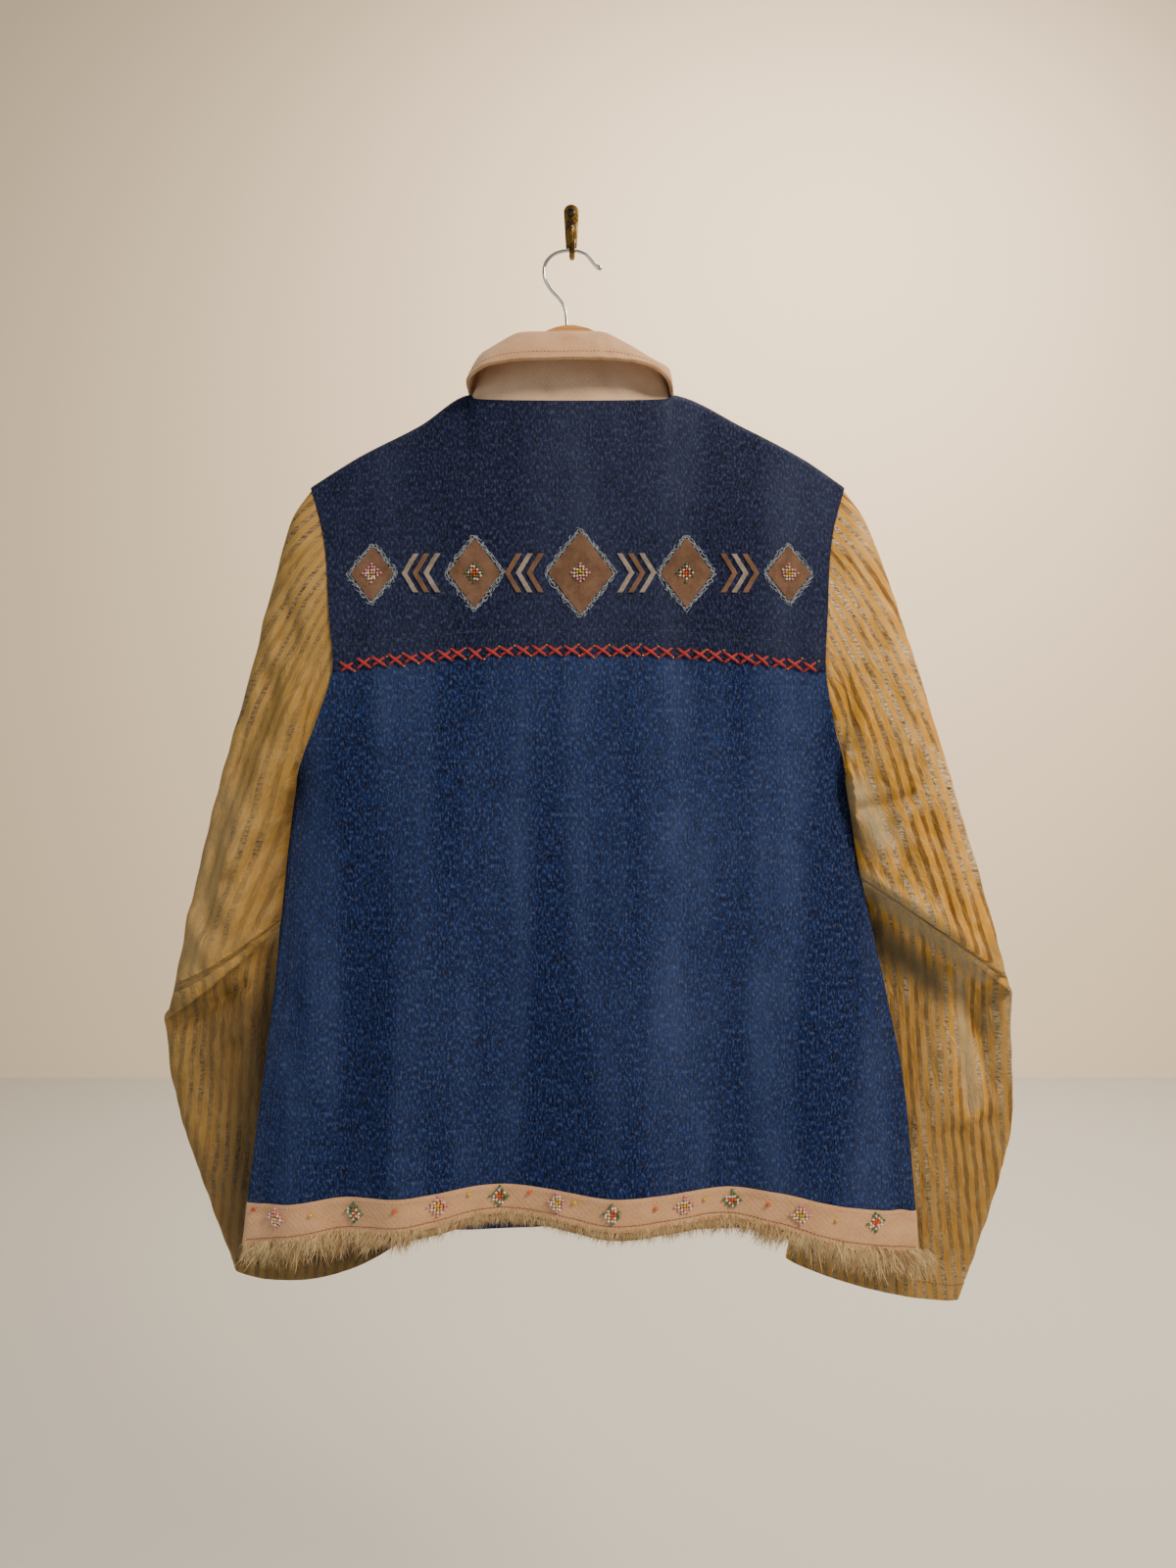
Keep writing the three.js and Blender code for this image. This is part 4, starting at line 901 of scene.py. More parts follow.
def sleeve_points(side, rings, creases):
    """Rows round the sleeve from the armhole to the cuff, and each point's place on the flat cloth."""
    turn = np.linspace(0, 2 * np.pi, SLEEVE_AROUND + 1)
    outward = -1 if side == "left" else 1
    loop = armhole_loop(side, turn)
    centre = loop.mean(axis=0)
    # the sleeve's head starts a little inside the armhole, under the body's turned edge
    head = loop + (centre - loop) * np.array([0, 0.06, 0.012]) + np.array([-outward * 1.5, 0, 0])
    around, sine = np.cos(turn)[None], np.sin(turn)[None]
    ox, oz, ix, iz, y, back, front, bow, lift = (column[:, None] for column in rings.T)
    run = np.stack([oz - iz, -(ox - ix)], -1) * (-1 if side == "left" else 1)
    run /= np.linalg.norm(run, axis=-1, keepdims=True)
    depth = np.abs(sine) ** 0.85 * np.where(sine > 0, -back, front)
    sag = bow * (1 - around ** 2) - np.where(sine > 0, lift * sine, 0)
    share = (1 + around) / 2
    body = np.stack([mix(ix, ox, share) + run[..., 0] * sag, y + depth, mix(iz, oz, share) + run[..., 1] * sag], -1)
    known = np.concatenate([head[None], body])
    last = len(known) - 1
    at = np.linspace(0, last, last * ROWS_A_RING + 1)
    i = np.minimum(at.astype(int), last - 1)
    t = (at - i)[:, None, None]
    padded = np.concatenate([2 * known[:1] - known[1:2], known, 2 * known[-1:] - known[-2:-1]])
    a, b, c, d = (padded[i + n] for n in range(4))
    points = 0.5 * (2 * b + (c - a) * t + (2 * a - 5 * b + 4 * c - d) * t * t + (3 * b - a - 3 * c + d) * t ** 3)
    place = at[:, None]
    around_back = np.where(turn <= np.pi, turn / np.pi, -1.0)[None]
    uv = flat_sleeve(side, points, place, around)
    for start, end, first, final, reach, high in creases:
        way = clamp((place - first) / (final - first))
        ends = smooth((place - first) / 1.2) * smooth((final - place) / 0.8)
        points[..., 1] -= np.where(around_back >= 0, high * ends * bump(around_back - mix(start, end, way), reach), 0)
    points[..., 1] -= np.where(around_back >= 0, 1.0, -0.6) * sleeve_crumple(side, points, place)
    near_body = ((1 - around) / 2) ** 3 * smooth((place - 0.9) / 0.8) * smooth((11.0 - place) / 2.0)
    points[..., 0] -= outward * 11 * near_body
    past_edge = (edge_x(side, points[..., 2]) - points[..., 0]) * outward
    limit = body_points("front", points[..., 0], points[..., 2], 2.2)[..., 1]
    tucked = smooth((past_edge + 0.5) / 1.5) * smooth((place - 0.9) / 0.5)
    points[..., 1] = mix(points[..., 1], np.maximum(points[..., 1], limit), tucked)
    return points, uv


def near_line(x, z, a, b, reach):
    """1 on the line from a to b, fading out over reach."""
    (ax, az), (bx, bz) = a, b
    t = clamp(((x - ax) * (bx - ax) + (z - az) * (bz - az)) / ((bx - ax) ** 2 + (bz - az) ** 2))
    return bump(np.hypot(x - mix(ax, bx, t), z - mix(az, bz, t)), reach)


# Creases that cross the sleeves: first and last point, reach and height.
LEFT_WRINKLES = (((-205, -440), (-262, -520), 7, 3.2), ((-225, -470), (-285, -568), 8, -3.0),
                 ((-214, -505), (-250, -580), 6, 2.8), ((-296, -560), (-258, -640), 7, 2.6),
                 ((-318, -655), (-262, -618), 5, -3.0), ((-314, -690), (-262, -650), 6, 2.4),
                 ((-240, -330), (-212, -400), 8, 1.8), ((-225, -372), (-250, -450), 7, -2.0))
RIGHT_WRINKLES = (((216, -452), (246, -505), 8, 3.6), ((222, -480), (262, -468), 6, -3.0),
                  ((228, -430), (262, -520), 8, -2.2), ((262, -545), (335, -600), 7, 2.4),
                  ((318, -620), (340, -700), 8, -2.8), ((352, -640), (322, -735), 7, 2.4),
                  ((300, -742), (352, -728), 6, -1.8), ((250, -350), (290, -470), 10, 1.4))


def sleeve_crumple(side, points, place):
    """Creases and small unevenness of the velvet, less near the armhole seam and the cuff."""
    x, z = points[..., 0], points[..., 2]
    total = 2.0 * ripples(x * 1.3, z * 0.8, 31 if side == "left" else 32, 14, 60)
    for a, b, reach, high in LEFT_WRINKLES if side == "left" else RIGHT_WRINKLES:
        total = total + 2.0 * high * near_line(x, z, a, b, reach)
    return total * smooth((place - 0.7) / 1.2) * smooth((ARM_RINGS + 0.3 - place) / 1.0)


def painted_sleeve_shading(side, points):
    """Painted light on the back half of each sleeve: painted shade above 0, painted highlight below 0."""
    x, z = points[..., 0], points[..., 2]
    if side == "left":
        # Left sleeve: painted shade over the forearm, deepest towards the body and lighter at the cuff and down the
        # outer edge; a strip of painted shade inside the upper arm by the armpit; a painted highlight down the upper
        # arm.
        low = smooth((-585 - z) / 60) * (0.6 + 0.4 * smooth((x + 292) / 60))
        low = low * (1 - 0.45 * smooth((-835 - z) / 14)) * (1 - 0.6 * near_line(x, z, (-322, -640), (-300, -740), 16))
        dark = 0.85 * low + 0.4 * near_line(x, z, (-216, -470), (-232, -560), 12)
        pale = 0.5 * near_line(x, z, (-270, -470), (-300, -600), 22)
    else:
        # Right sleeve: a painted shadow under the elbow's fold and painted shade over the forearm; painted highlights
        # on the armpit fold, along the fold's ridge and on the forearm's face.
        under = near_line(x, z, (226, -562), (330, -652), 17) * smooth((-523 - 0.84 * (x - 222) - z) / 12)
        dark = np.maximum(0.5 * smooth((-590 - z + 0.3 * (x - 260)) / 20), 0.95 * under)
        pale = np.maximum(0.9 * near_line(x, z, (222, -462), (240, -498), 12),
                          0.85 * near_line(x, z, (214, -522), (330, -612), 9))
        pale = np.maximum(pale, 0.9 * near_line(x, z, (312, -614), (324, -715), 10))
    behind = smooth((np.sin(np.linspace(0, 2 * np.pi, SLEEVE_AROUND + 1)) + 0.15) / 0.5)
    return (clamp(dark) * (1 - pale) - clamp(pale)) * behind


def flat_sleeve(side, points, place, around):
    """Place on the flat sleeve. Its stripes slant outwards at the shoulder, run on down the upper arm, and
    hang almost upright below the elbow's fold. At its outer edge the cloth runs towards the front."""
    out, down = points[..., 0] * (-1 if side == "left" else 1), -points[..., 2] - 300
    out = out + 0.8 * np.maximum(around, 0) ** 7 * (points[..., 1] - points[:, :1, 1])
    near_top = np.minimum(down, 150)
    upper = 0.95 * (out - 0.32 * down - 0.28 * (near_top - near_top ** 2 / 300))
    lower = out - 0.07 * down
    return np.stack([mix(upper, lower, smooth((place - 7.4) / 0.2)), down], -1) * MM


# The collar, by the share of the way round the neck from the middle front, over the left side first.
COLLAR_COLUMNS = 190


def collar_turn(share):
    return 2 * np.pi * share


def backness(share):
    return -np.cos(collar_turn(share))


def neck_points(share):
    """The neck seam, from the middle front round the left side, the back and the right side."""
    x = -NECK_HALF * np.sin(collar_turn(share))
    x = np.sign(x) * np.minimum(np.abs(x), NECK_HALF - 0.01)
    back, front = (body_points(face, x, top_z(face, x)) for face in ("back", "front"))
    return np.where((np.cos(collar_turn(share)) < 0)[:, None], back, front)


RIGHT_DROOP, LEFT_DROOP = 0.58, 0.32


def collar_droop(share):
    """How far the fold sinks towards the shoulders, most of all on the right."""
    x = -np.sin(collar_turn(share))
    droop = np.where(x > 0, RIGHT_DROOP * smooth((x - 0.35) / 0.75), LEFT_DROOP * smooth((-x - 0.6) / 0.5))
    return droop * (1 - smooth(-backness(share) * 1.4))


def collar_fold(share):
    seam, back, droop = neck_points(share), backness(share), collar_droop(share)
    lean = mix(mix(0.08, 0.33, smooth(back + 0.9)), 0.1, droop / RIGHT_DROOP)
    rise = (mix(9, 46, smooth((back + 1) / 1.25)) + 6 * smooth(back)) * (1 - droop)
    return np.stack([seam[:, 0] * (1 - lean), mix(seam[:, 1], -38, lean), seam[:, 2] + rise], -1)


def collar_edge(share):
    back, x = backness(share), -np.sin(collar_turn(share))
    low = -146 - 5 * smooth((x - 0.6) / 0.4)
    behind = np.stack([78 * x, mix(-40, -88, np.sqrt(np.maximum(back, 0))), mix(low, -139, smooth(back * 1.1))], -1)
    forward = smooth(-back) ** 1.4
    fx, fz = np.sign(x) * mix(78, 52, forward), mix(low, -236, forward)
    rest = body_points("front", fx, np.minimum(fz, top_z("front", fx) - 1), 5)[:, 1]
    ahead = np.stack([fx, mix(-40, rest, smooth(-back * 3)), fz], -1)
    return np.where((back >= 0)[:, None], behind, ahead)


def clear_of_body(points, gap):
    """Moves collar points clear of the body's outer face, where they lie over the body."""
    x, y, z = points[..., 0], points[..., 1], points[..., 2]
    front = y > along(DEPTH, "z", "seam", z)
    for face, which in (("front", front), ("back", ~front)):
        top = top_z(face, x)
        limit = body_points(face, x, np.minimum(z, top), gap)[..., 1]
        over = which & (z <= top + gap)
        y = np.where(over, np.maximum(y, limit) if face == "front" else np.minimum(y, limit), y)
    return np.stack([x, y, z], -1)


def collar_shares():
    return np.linspace(0.012, 0.988, COLLAR_COLUMNS)


def stand_points():
    share = collar_shares()
    seam, front = neck_points(share), smooth(-backness(share) * 3)
    foot = seam + np.array([0, 0, -1.0])
    foot[:, 0] = seam[:, 0] * mix(0.985, 0.962, front)
    foot[:, 1] += np.where(backness(share) > 0, 0.8, 0.0)
    fold = collar_fold(share)
    top = fold + np.array([0, 0, -1.0])
    # at the sides the fall stands off the fold, and the stand's top bends out to meet it
    out = collar_edge(share)[:, :2] - fold[:, :2]
    bend_out, bend_up = 1.7, 1.3
    aside = smooth((0.4 - backness(share)) / 0.3)
    top[:, :2] += bend_out * out * (aside / np.linalg.norm(out, axis=1))[:, None]
    top[:, 2] += bend_up * aside
    t = np.linspace(0, 1, 26)[:, None, None]
    points = mix(foot[None], top[None], t)
    hang = ripples(share[None] * 500, t[..., 0] * 30, 21, 22, 80) * np.sin(np.pi * t[..., 0])
    crease = bump(share[None] * 500 - 232, 5) + 0.7 * bump(share[None] * 500 - 286, 6)
    points[..., 1] += 1.3 * hang + 2.2 * crease * np.sin(np.pi * t[..., 0])
    return points, np.stack(np.broadcast_arrays(share[None] * 0.5, t[..., 0] * 0.05), -1)


def fall_points():
    share = collar_shares()
    fold, edge, back = collar_fold(share), collar_edge(share), backness(share)
    out = edge[:, :2] - fold[:, :2]
    out /= np.linalg.norm(out, axis=1)[:, None]
    t = np.linspace(0, 1, 40)[:, None]
    swell = 7 * np.sin(np.pi * np.sqrt(t))
    past = np.maximum(smooth(t / 0.12), smooth((0.4 - back[None]) / 0.3))
    away = swell * 0.6 + mix(0.6, 3.1, past)
    points = mix(fold[None], edge[None], t[..., None])
    soft = ripples(share[None] * 560, t * 40, 23, 26, 120) * 0.8 * smooth(t / 0.3)
    soft = soft + 1.6 * bump(share[None] * 560 - 306, 5) * t - 1.5 * bump(share[None] * 560 - 330, 6) * t
    points[..., 0] += out[None, :, 0] * (away + soft)
    points[..., 1] += out[None, :, 1] * (away + soft) + 3 * past * smooth(-back[None] * 5)
    points[..., 2] += mix(0, 1.8, past) + swell * 0.35
    points = clear_of_body(points, 4.8)
    return points[::-1], np.stack(np.broadcast_arrays(share[None] * 0.56, t[::-1] * 0.05), -1)


STITCH_SHARE = 0.8  # a stitch shows over this share of the pitch, and is inside the cloth for the rest


def stitch_shape(length, radius):
    """One stitch of thread: a short rod whose ends go down into the cloth. It lies along X, up is Z."""
    bpy.ops.object.select_all(action="DESELECT")
    bpy.ops.mesh.primitive_cylinder_add(vertices=6, radius=radius * MM, depth=length * MM,
                                        rotation=(0, math.pi / 2, 0))
    obj = bpy.context.object
    bpy.ops.object.transform_apply(rotation=True)
    bpy.ops.object.mode_set(mode="EDIT")
    bpy.ops.mesh.select_all(action="SELECT")
    for share in (0.16, 0.5, 0.84):
        bpy.ops.mesh.select_all(action="SELECT")
        bpy.ops.mesh.bisect(plane_co=((share - 0.5) * length * MM, 0, 0), plane_no=(1, 0, 0))
    bpy.ops.object.mode_set(mode="OBJECT")
    for vertex in obj.data.vertices:
        end = abs(vertex.co.x) / (length * MM / 2)
        vertex.co.z -= radius * MM * 1.5 * end ** 3
        vertex.co.y *= 1 - 0.35 * end ** 4
    return read_mesh(obj)


def bead_shape(radius):
    """A seed bead, flatter along its hole."""
    bpy.ops.object.select_all(action="DESELECT")
    bpy.ops.mesh.primitive_uv_sphere_add(segments=9, ring_count=6, radius=radius * MM)
    obj = bpy.context.object
    for vertex in obj.data.vertices:
        vertex.co.y *= 0.78
    return read_mesh(obj)


def back_normal(x, z):
    """Outward normal of the back at points."""
    step = 1.5
    a = body_points("back", x + step, z) - body_points("back", x - step, z)
    b = body_points("back", x, z + step) - body_points("back", x, z - step)
    normal = np.cross(a, b)
    return normal / np.linalg.norm(normal, axis=-1, keepdims=True)


def back_spot(x, z):
    """One point of the back, and its outward normal."""
    x, z = np.array([x]), np.array([z])
    return body_points("back", x, z)[0], back_normal(x, z)[0]


def line_places(line, normals, pitch, lift, seed):
    """Places of stitches along a line of points in millimetres, one each pitch millimetres."""
    length = np.concatenate([[0], np.cumsum(np.linalg.norm(np.diff(line, axis=0), axis=1))])
    at = np.arange(pitch / 2, length[-1], pitch)
    spots = np.stack([np.interp(at, length, line[:, k]) for k in range(3)], -1)
    outs = np.stack([np.interp(at, length, normals[:, k]) for k in range(3)], -1)
    outs /= np.linalg.norm(outs, axis=1)[:, None]
    rng = np.random.default_rng(seed)
    places = []
    for spot, normal, way in zip(spots, outs, np.gradient(spots, axis=0)):
        way = way / np.linalg.norm(way) + rng.normal(0, 0.03, 3)
        places.append((frame_at(way, np.cross(normal, way)), (spot + normal * lift) * MM))
    return places


def stitch_places(x, z, pitch, lift, seed):
    """Stitches along a line over the back."""
    return line_places(body_points("back", x, z), back_normal(x, z), pitch, lift, seed)


def grid_stitches(points, row, pitch, lift, middle, seed):
    """Stitches along a row of a cloth grid, on its side that faces away from middle."""
    line = points[row]
    normals = np.cross(np.gradient(line, axis=0), points[row + 1] - points[row - 1])
    normals /= np.linalg.norm(normals, axis=1)[:, None]
    away = np.einsum("nk,nk->n", normals, line - np.asarray(middle, float))
    return line_places(line, normals * np.sign(away)[:, None], pitch, lift, seed)


def rosette(x, z, heart, petal, rim, lift, seed):
    """A diamond of seed beads, 2.3 mm apart across and 2.4 mm apart up: a heart, petals round it and a rim, with
    a few beads missing at the rim and a few of the next colour."""
    rng = np.random.default_rng(seed)
    places, tints = [], []
    for i in range(-3, 4):
        for j in range(-3, 4):
            out = abs(i) + abs(j)
            if out > 3 or (out == 3 and rng.random() < 0.12):
                continue
            dx, dz = i * 2.3 + rng.normal(0, 0.2), j * 2.4 + rng.normal(0, 0.2)
            spot, normal = back_spot(x + dx, z + dz)
            way = np.array([math.cos(i + j), 0, math.sin(i + j)])
            way -= normal * way.dot(normal)
            places.append((frame_at(way, np.cross(normal, way)), (spot + normal * lift) * MM))
            name = heart if out < 2 and rng.random() < 0.9 else petal if out < 3 and rng.random() < 0.85 else rim
            if out == 3:
                name = rim if i == 0 or j == 0 or rng.random() < 0.6 else petal
            tints.append(bead_tint(name))
    return places, tints


def join(objects):
    bpy.ops.object.select_all(action="DESELECT")
    for obj in objects:
        obj.select_set(True)
    bpy.context.view_layer.objects.active = objects[0]
    bpy.ops.object.join()
    return bpy.context.object


# Sizes and colours that a user would change.


class JacketCloth(bpy.types.PropertyGroup):
    denim_thickness: bpy.props.FloatProperty(name="Denim", description="Thickness of the denim", default=1.2 * MM,
                                             min=0.5 * MM, max=2 * MM, unit="LENGTH", precision=4)
    velvet_thickness: bpy.props.FloatProperty(name="Velvet", description="Thickness of the velvet with its pile",
                                              default=1.8 * MM, min=0.5 * MM, max=3 * MM, unit="LENGTH", precision=4)
    twill_thickness: bpy.props.FloatProperty(name="Twill", description="Thickness of the twill of collar and band",
                                             default=1.6 * MM, min=0.5 * MM, max=3 * MM, unit="LENGTH", precision=4)
    indigo: bpy.props.FloatVectorProperty(name="Indigo", description="Unworn colour of the denim", subtype="COLOR",
                                          size=3, min=0, max=1, default=colour("#080d26")[:3])
    # The velvet ground defaults to the left sleeve's gold, painted darker than the right sleeve's as painted shade.
    velvet_gold: bpy.props.FloatVectorProperty(name="Velvet ground", description="Ground colour of the velvet",
                                               subtype="COLOR", size=3, min=0, max=1, default=colour("#a38340")[:3])
    twill_colour: bpy.props.FloatVectorProperty(name="Twill", description="Colour of the collar and hem band",
                                                subtype="COLOR", size=3, min=0, max=1, default=colour("#b78c68")[:3])


class JacketTrim(bpy.types.PropertyGroup):
    hairs: bpy.props.IntProperty(name="Fur locks", description="Number of hair locks in the fur edging",
                                 default=11400, min=500, max=16000)
    hair_length: bpy.props.FloatProperty(name="Hair", description="Longest hair of the fur edging",
                                         default=24 * MM, min=8 * MM, max=40 * MM, unit="LENGTH")
    cross_pitch: bpy.props.FloatProperty(name="Cross pitch", description="Distance from one red cross to the next",
                                         default=12 * MM, min=8 * MM, max=20 * MM, unit="LENGTH")
    stitch_pitch: bpy.props.FloatProperty(name="Stitch pitch", description="Distance from one stitch to the next",
                                          default=2.9 * MM, min=1.5 * MM, max=5 * MM, unit="LENGTH", precision=4)
    thread_red: bpy.props.FloatVectorProperty(name="Cross-stitch", description="Colour of the cross-stitch thread",
                                              subtype="COLOR", size=3, min=0, max=1, default=colour("#c02a30")[:3])


def chosen(code):
    """Hex code of a colour that a user set."""
    parts = [p * 12.92 if p <= 0.0031308 else 1.055 * p ** (1 / 2.4) - 0.055 for p in code]
    return "#" + "".join(f"{round(255 * min(max(p, 0), 1)):02x}" for p in parts)


def cloth_sizes():
    return bpy.context.scene.jacket_cloth


def trim_sizes():
    return bpy.context.scene.jacket_trim


class JACKET_OT_back(bpy.types.Operator):
    """Yoke and lower back of washed denim"""
    bl_idname = "jacket.back"
    bl_label = "Back"

    def execute(self, context):
        thick = cloth_sizes().denim_thickness / MM
        denim = washed_denim("washed indigo denim", chosen(cloth_sizes().indigo), "#132962", "#5c74b0", 0.32)
        yoke_denim = washed_denim("washed indigo denim, yoke", "#0b0f22", "#1a244c", "#56658e", 0.2)
        points = held_off(lower_back_points(), "back", 0.7)
        lower = settle(cloth(points, flat_uv(points), thick, bevel=0.4), "lower_back", denim, ["back_lower"])
        points = held_off(yoke_points(), "back", 0.7)
        yoke = settle(cloth(points, flat_uv(points), thick, bevel=0.4), "yoke", yoke_denim, ["back_yoke"])
        return {"FINISHED"}


class JACKET_OT_fronts(bpy.types.Operator):
    """The two fronts, with the left one over the right one, and their buttons"""
    bl_idname = "jacket.fronts"
    bl_label = "Fronts and buttons"

    def execute(self, context):
        thick = cloth_sizes().denim_thickness / MM
        denim = washed_denim("washed indigo denim, fronts", chosen(cloth_sizes().indigo), "#132962", "#5c74b0", 0.3)
        for side in ("left", "right"):
            points = held_off(front_points(side), "front", 0.7)
            front = settle(cloth(points, flat_uv(points), thick, bevel=0.4), "front_panel_" + side, denim,
                           ["front_" + side])
        rivets = aged_brass("dull brass buttons", "#a37b45", "#4c3922")
        for place in range(1, 7):
            low, high = (np.array(c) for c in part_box(f"button_{place}"))
            middle = (low + high) / 2 / MM
            spin_button(middle, (high[0] - low[0]) / 2 / MM, (high[1] - low[1]) / MM, f"brass_button_{place}", rivets,
                        f"button_{place}")
        return {"FINISHED"}


def spin_button(middle, radius, height, name, material, node):
    """A tack button: a dished cap with a rolled rim, spun round its middle."""
    turn = np.linspace(0, 2 * np.pi, 41)
    profile = np.array([(0.0, 0.55), (0.4, 0.55), (0.66, 0.62), (0.78, 0.82), (0.88, 1.0), (0.97, 0.9), (1.0, 0.6),
                        (0.96, 0.25), (0.8, 0.0), (0.4, 0.0), (0.0, 0.0)])
    rows = profile[:, None]
    points = np.stack([middle[0] + rows[..., 0] * radius * np.cos(turn)[None],
                       middle[1] - height / 2 + rows[..., 1] * height + 0 * turn[None],
                       middle[2] + rows[..., 0] * radius * np.sin(turn)[None]], -1)
    obj = lay_grid(points, np.stack(np.broadcast_arrays(turn[None] * 0.003, rows[..., 1] * 0.003), -1), tube=True)
    select_only(obj)
    bpy.ops.object.mode_set(mode="EDIT")
    bpy.ops.mesh.select_all(action="SELECT")
    bpy.ops.mesh.remove_doubles(threshold=2e-5)
    bpy.ops.mesh.normals_make_consistent(inside=False)
    bpy.ops.object.mode_set(mode="OBJECT")
    bpy.ops.object.shade_smooth_by_angle(angle=math.radians(45))
    return settle(obj, name, material, [node])


class JACKET_OT_sleeves(bpy.types.Operator):
    """The two velvet sleeves"""
    bl_idname = "jacket.sleeves"
    bl_label = "Sleeves"

    def execute(self, context):
        thick = cloth_sizes().velvet_thickness / MM
        gold = chosen(cloth_sizes().velvet_gold)
        pitch = trim_sizes().stitch_pitch / MM
        cuff_line = []
        for side, rings, creases in (("left", LEFT_SLEEVE, LEFT_CREASES), ("right", RIGHT_SLEEVE, RIGHT_CREASES)):
            points, uv = sleeve_points(side, rings, creases)
            # The left sleeve's velvet is the right one's cloth painted darker and duller, with fainter, flatter
            # stripes: painted shade on that side. In both, the fourth and fifth colours are painted shade and painted
            # highlight.
            if side == "left":
                material = striped_velvet("crushed velvet painted darker in shade, left sleeve", gold, "#36200b", "#cdb784", 0.45, "#33220e",
                                          0.6, "#a8936a")
            else:
                material = striped_velvet("crushed velvet with painted shading, right sleeve", "#d09a22", "#452a0c", "#f3e2bc", 0.85,
                                          "#695d40", 0.2)
            # the wall carries the sleeve's painted shade and painted highlight
            wall = cloth(points, uv, thick, tube=True, bevel=0.5, shade=painted_sleeve_shading(side, points))
            nodes = ["sleeve_right"] if side == "right" else ["sleeve_left", "sleeve_left_forearm"]
            sleeve = settle(wall, "velvet_sleeve_" + side, material, nodes)
            middle = points[-12].mean(axis=0)
            cuff_line += grid_stitches(points, len(points) - 5, pitch, thick / 2 + 0.15, middle, 6)
        settle(copies(stitch_shape(pitch * STITCH_SHARE, 0.3), cuff_line), "cuff_stitches",
               spun_thread("ochre topstitching thread", "#6f4f22"))
        return {"FINISHED"}


class JACKET_OT_collar(bpy.types.Operator):
    """Collar stand and turned-down fall of brushed twill"""
    bl_idname = "jacket.collar"
    bl_label = "Collar"

    def execute(self, context):
        thick = cloth_sizes().twill_thickness / MM
        pitch = trim_sizes().stitch_pitch / MM
        outer = cotton_twill("brushed cotton twill, collar", chosen(cloth_sizes().twill_colour), "#d2ab86")
        # The stand's twill is the collar's cloth painted lighter and greyer, to offset the shade that falls on the
        # stand.
        inner = cotton_twill("brushed cotton twill painted lighter, collar stand", "#cdb098", "#dfc7af")
        for name, points_of, flat, node, twill in (("collar_band", stand_points, (0.5, 0.06), "collar_stand", inner),
                                                   ("collar_leaf", fall_points, (0.56, 0.06), "collar_fall", outer)):
            points, uv = points_of()
            wall = cloth(points, uv, thick * (1.6 if name == "collar_leaf" else 1), bevel=1.0)
            piece = settle(wall, name, twill, [node])
            if name == "collar_leaf":
                rim = grid_stitches(points, 7, pitch, thick * 0.8 + 0.15, (0, -38, -170), 5)
        settle(copies(stitch_shape(pitch * STITCH_SHARE, 0.32), rim), "collar_stitches",
               spun_thread("tan topstitching thread, collar", "#a07c62"))
        return {"FINISHED"}


class JACKET_OT_hem_band(bpy.types.Operator):
    """Twill band along the back's lower edge"""
    bl_idname = "jacket.hem_band"
    bl_label = "Hem band"

    def execute(self, context):
        thick = cloth_sizes().twill_thickness / MM
        twill = cotton_twill("brushed cotton twill, hem band", chosen(cloth_sizes().twill_colour), "#d2ab86")
        points = held_off(strip_points(lambda x: denim_end_z(x) - 0.3, band_end_z, 22), "back", 0.9)
        share = np.linspace(0, 1, 22)[:, None]
        points[..., 1] -= 0.7 * bump(share - 0.88, 0.1) + 0.5 * bump(share - 0.1, 0.1)
        band = settle(cloth(points, flat_uv(points), thick, bevel=0.6), "hem_strip", twill, ["hem_band"])
        return {"FINISHED"}


def hair_shape(bend):
    """One lock of hair, a metre long before it is scaled: a tapered cone along X that curls by bend."""
    bpy.ops.object.select_all(action="DESELECT")
    bpy.ops.mesh.primitive_cone_add(vertices=3, radius1=0.021, radius2=0.003, depth=1, end_fill_type="NOTHING",
                                    location=(0, 0, 0))
    obj = bpy.context.object
    bpy.ops.object.mode_set(mode="EDIT")
    for share in (-0.25, 0.05, 0.3):
        bpy.ops.mesh.select_all(action="SELECT")
        bpy.ops.mesh.bisect(plane_co=(0, 0, share), plane_no=(0, 0, 1))
    bpy.ops.object.mode_set(mode="OBJECT")
    for vertex in obj.data.vertices:
        x, y, t = vertex.co.x, vertex.co.y, vertex.co.z + 0.5
        vertex.co = (t * (1 - 0.35 * bend * t), y + 0.12 * bend * math.sin(4 * t), x + bend * t ** 2)
    return read_mesh(obj)


def fur_depth(x):
    """How far the fur hangs below the band: longest at both ends."""
    return 9.5 + 5.5 * smooth((np.abs(x) - 80) / 120) + 2.5 * smooth((x - 200) / 40) - 1.5 * bump(x + 20, 50)


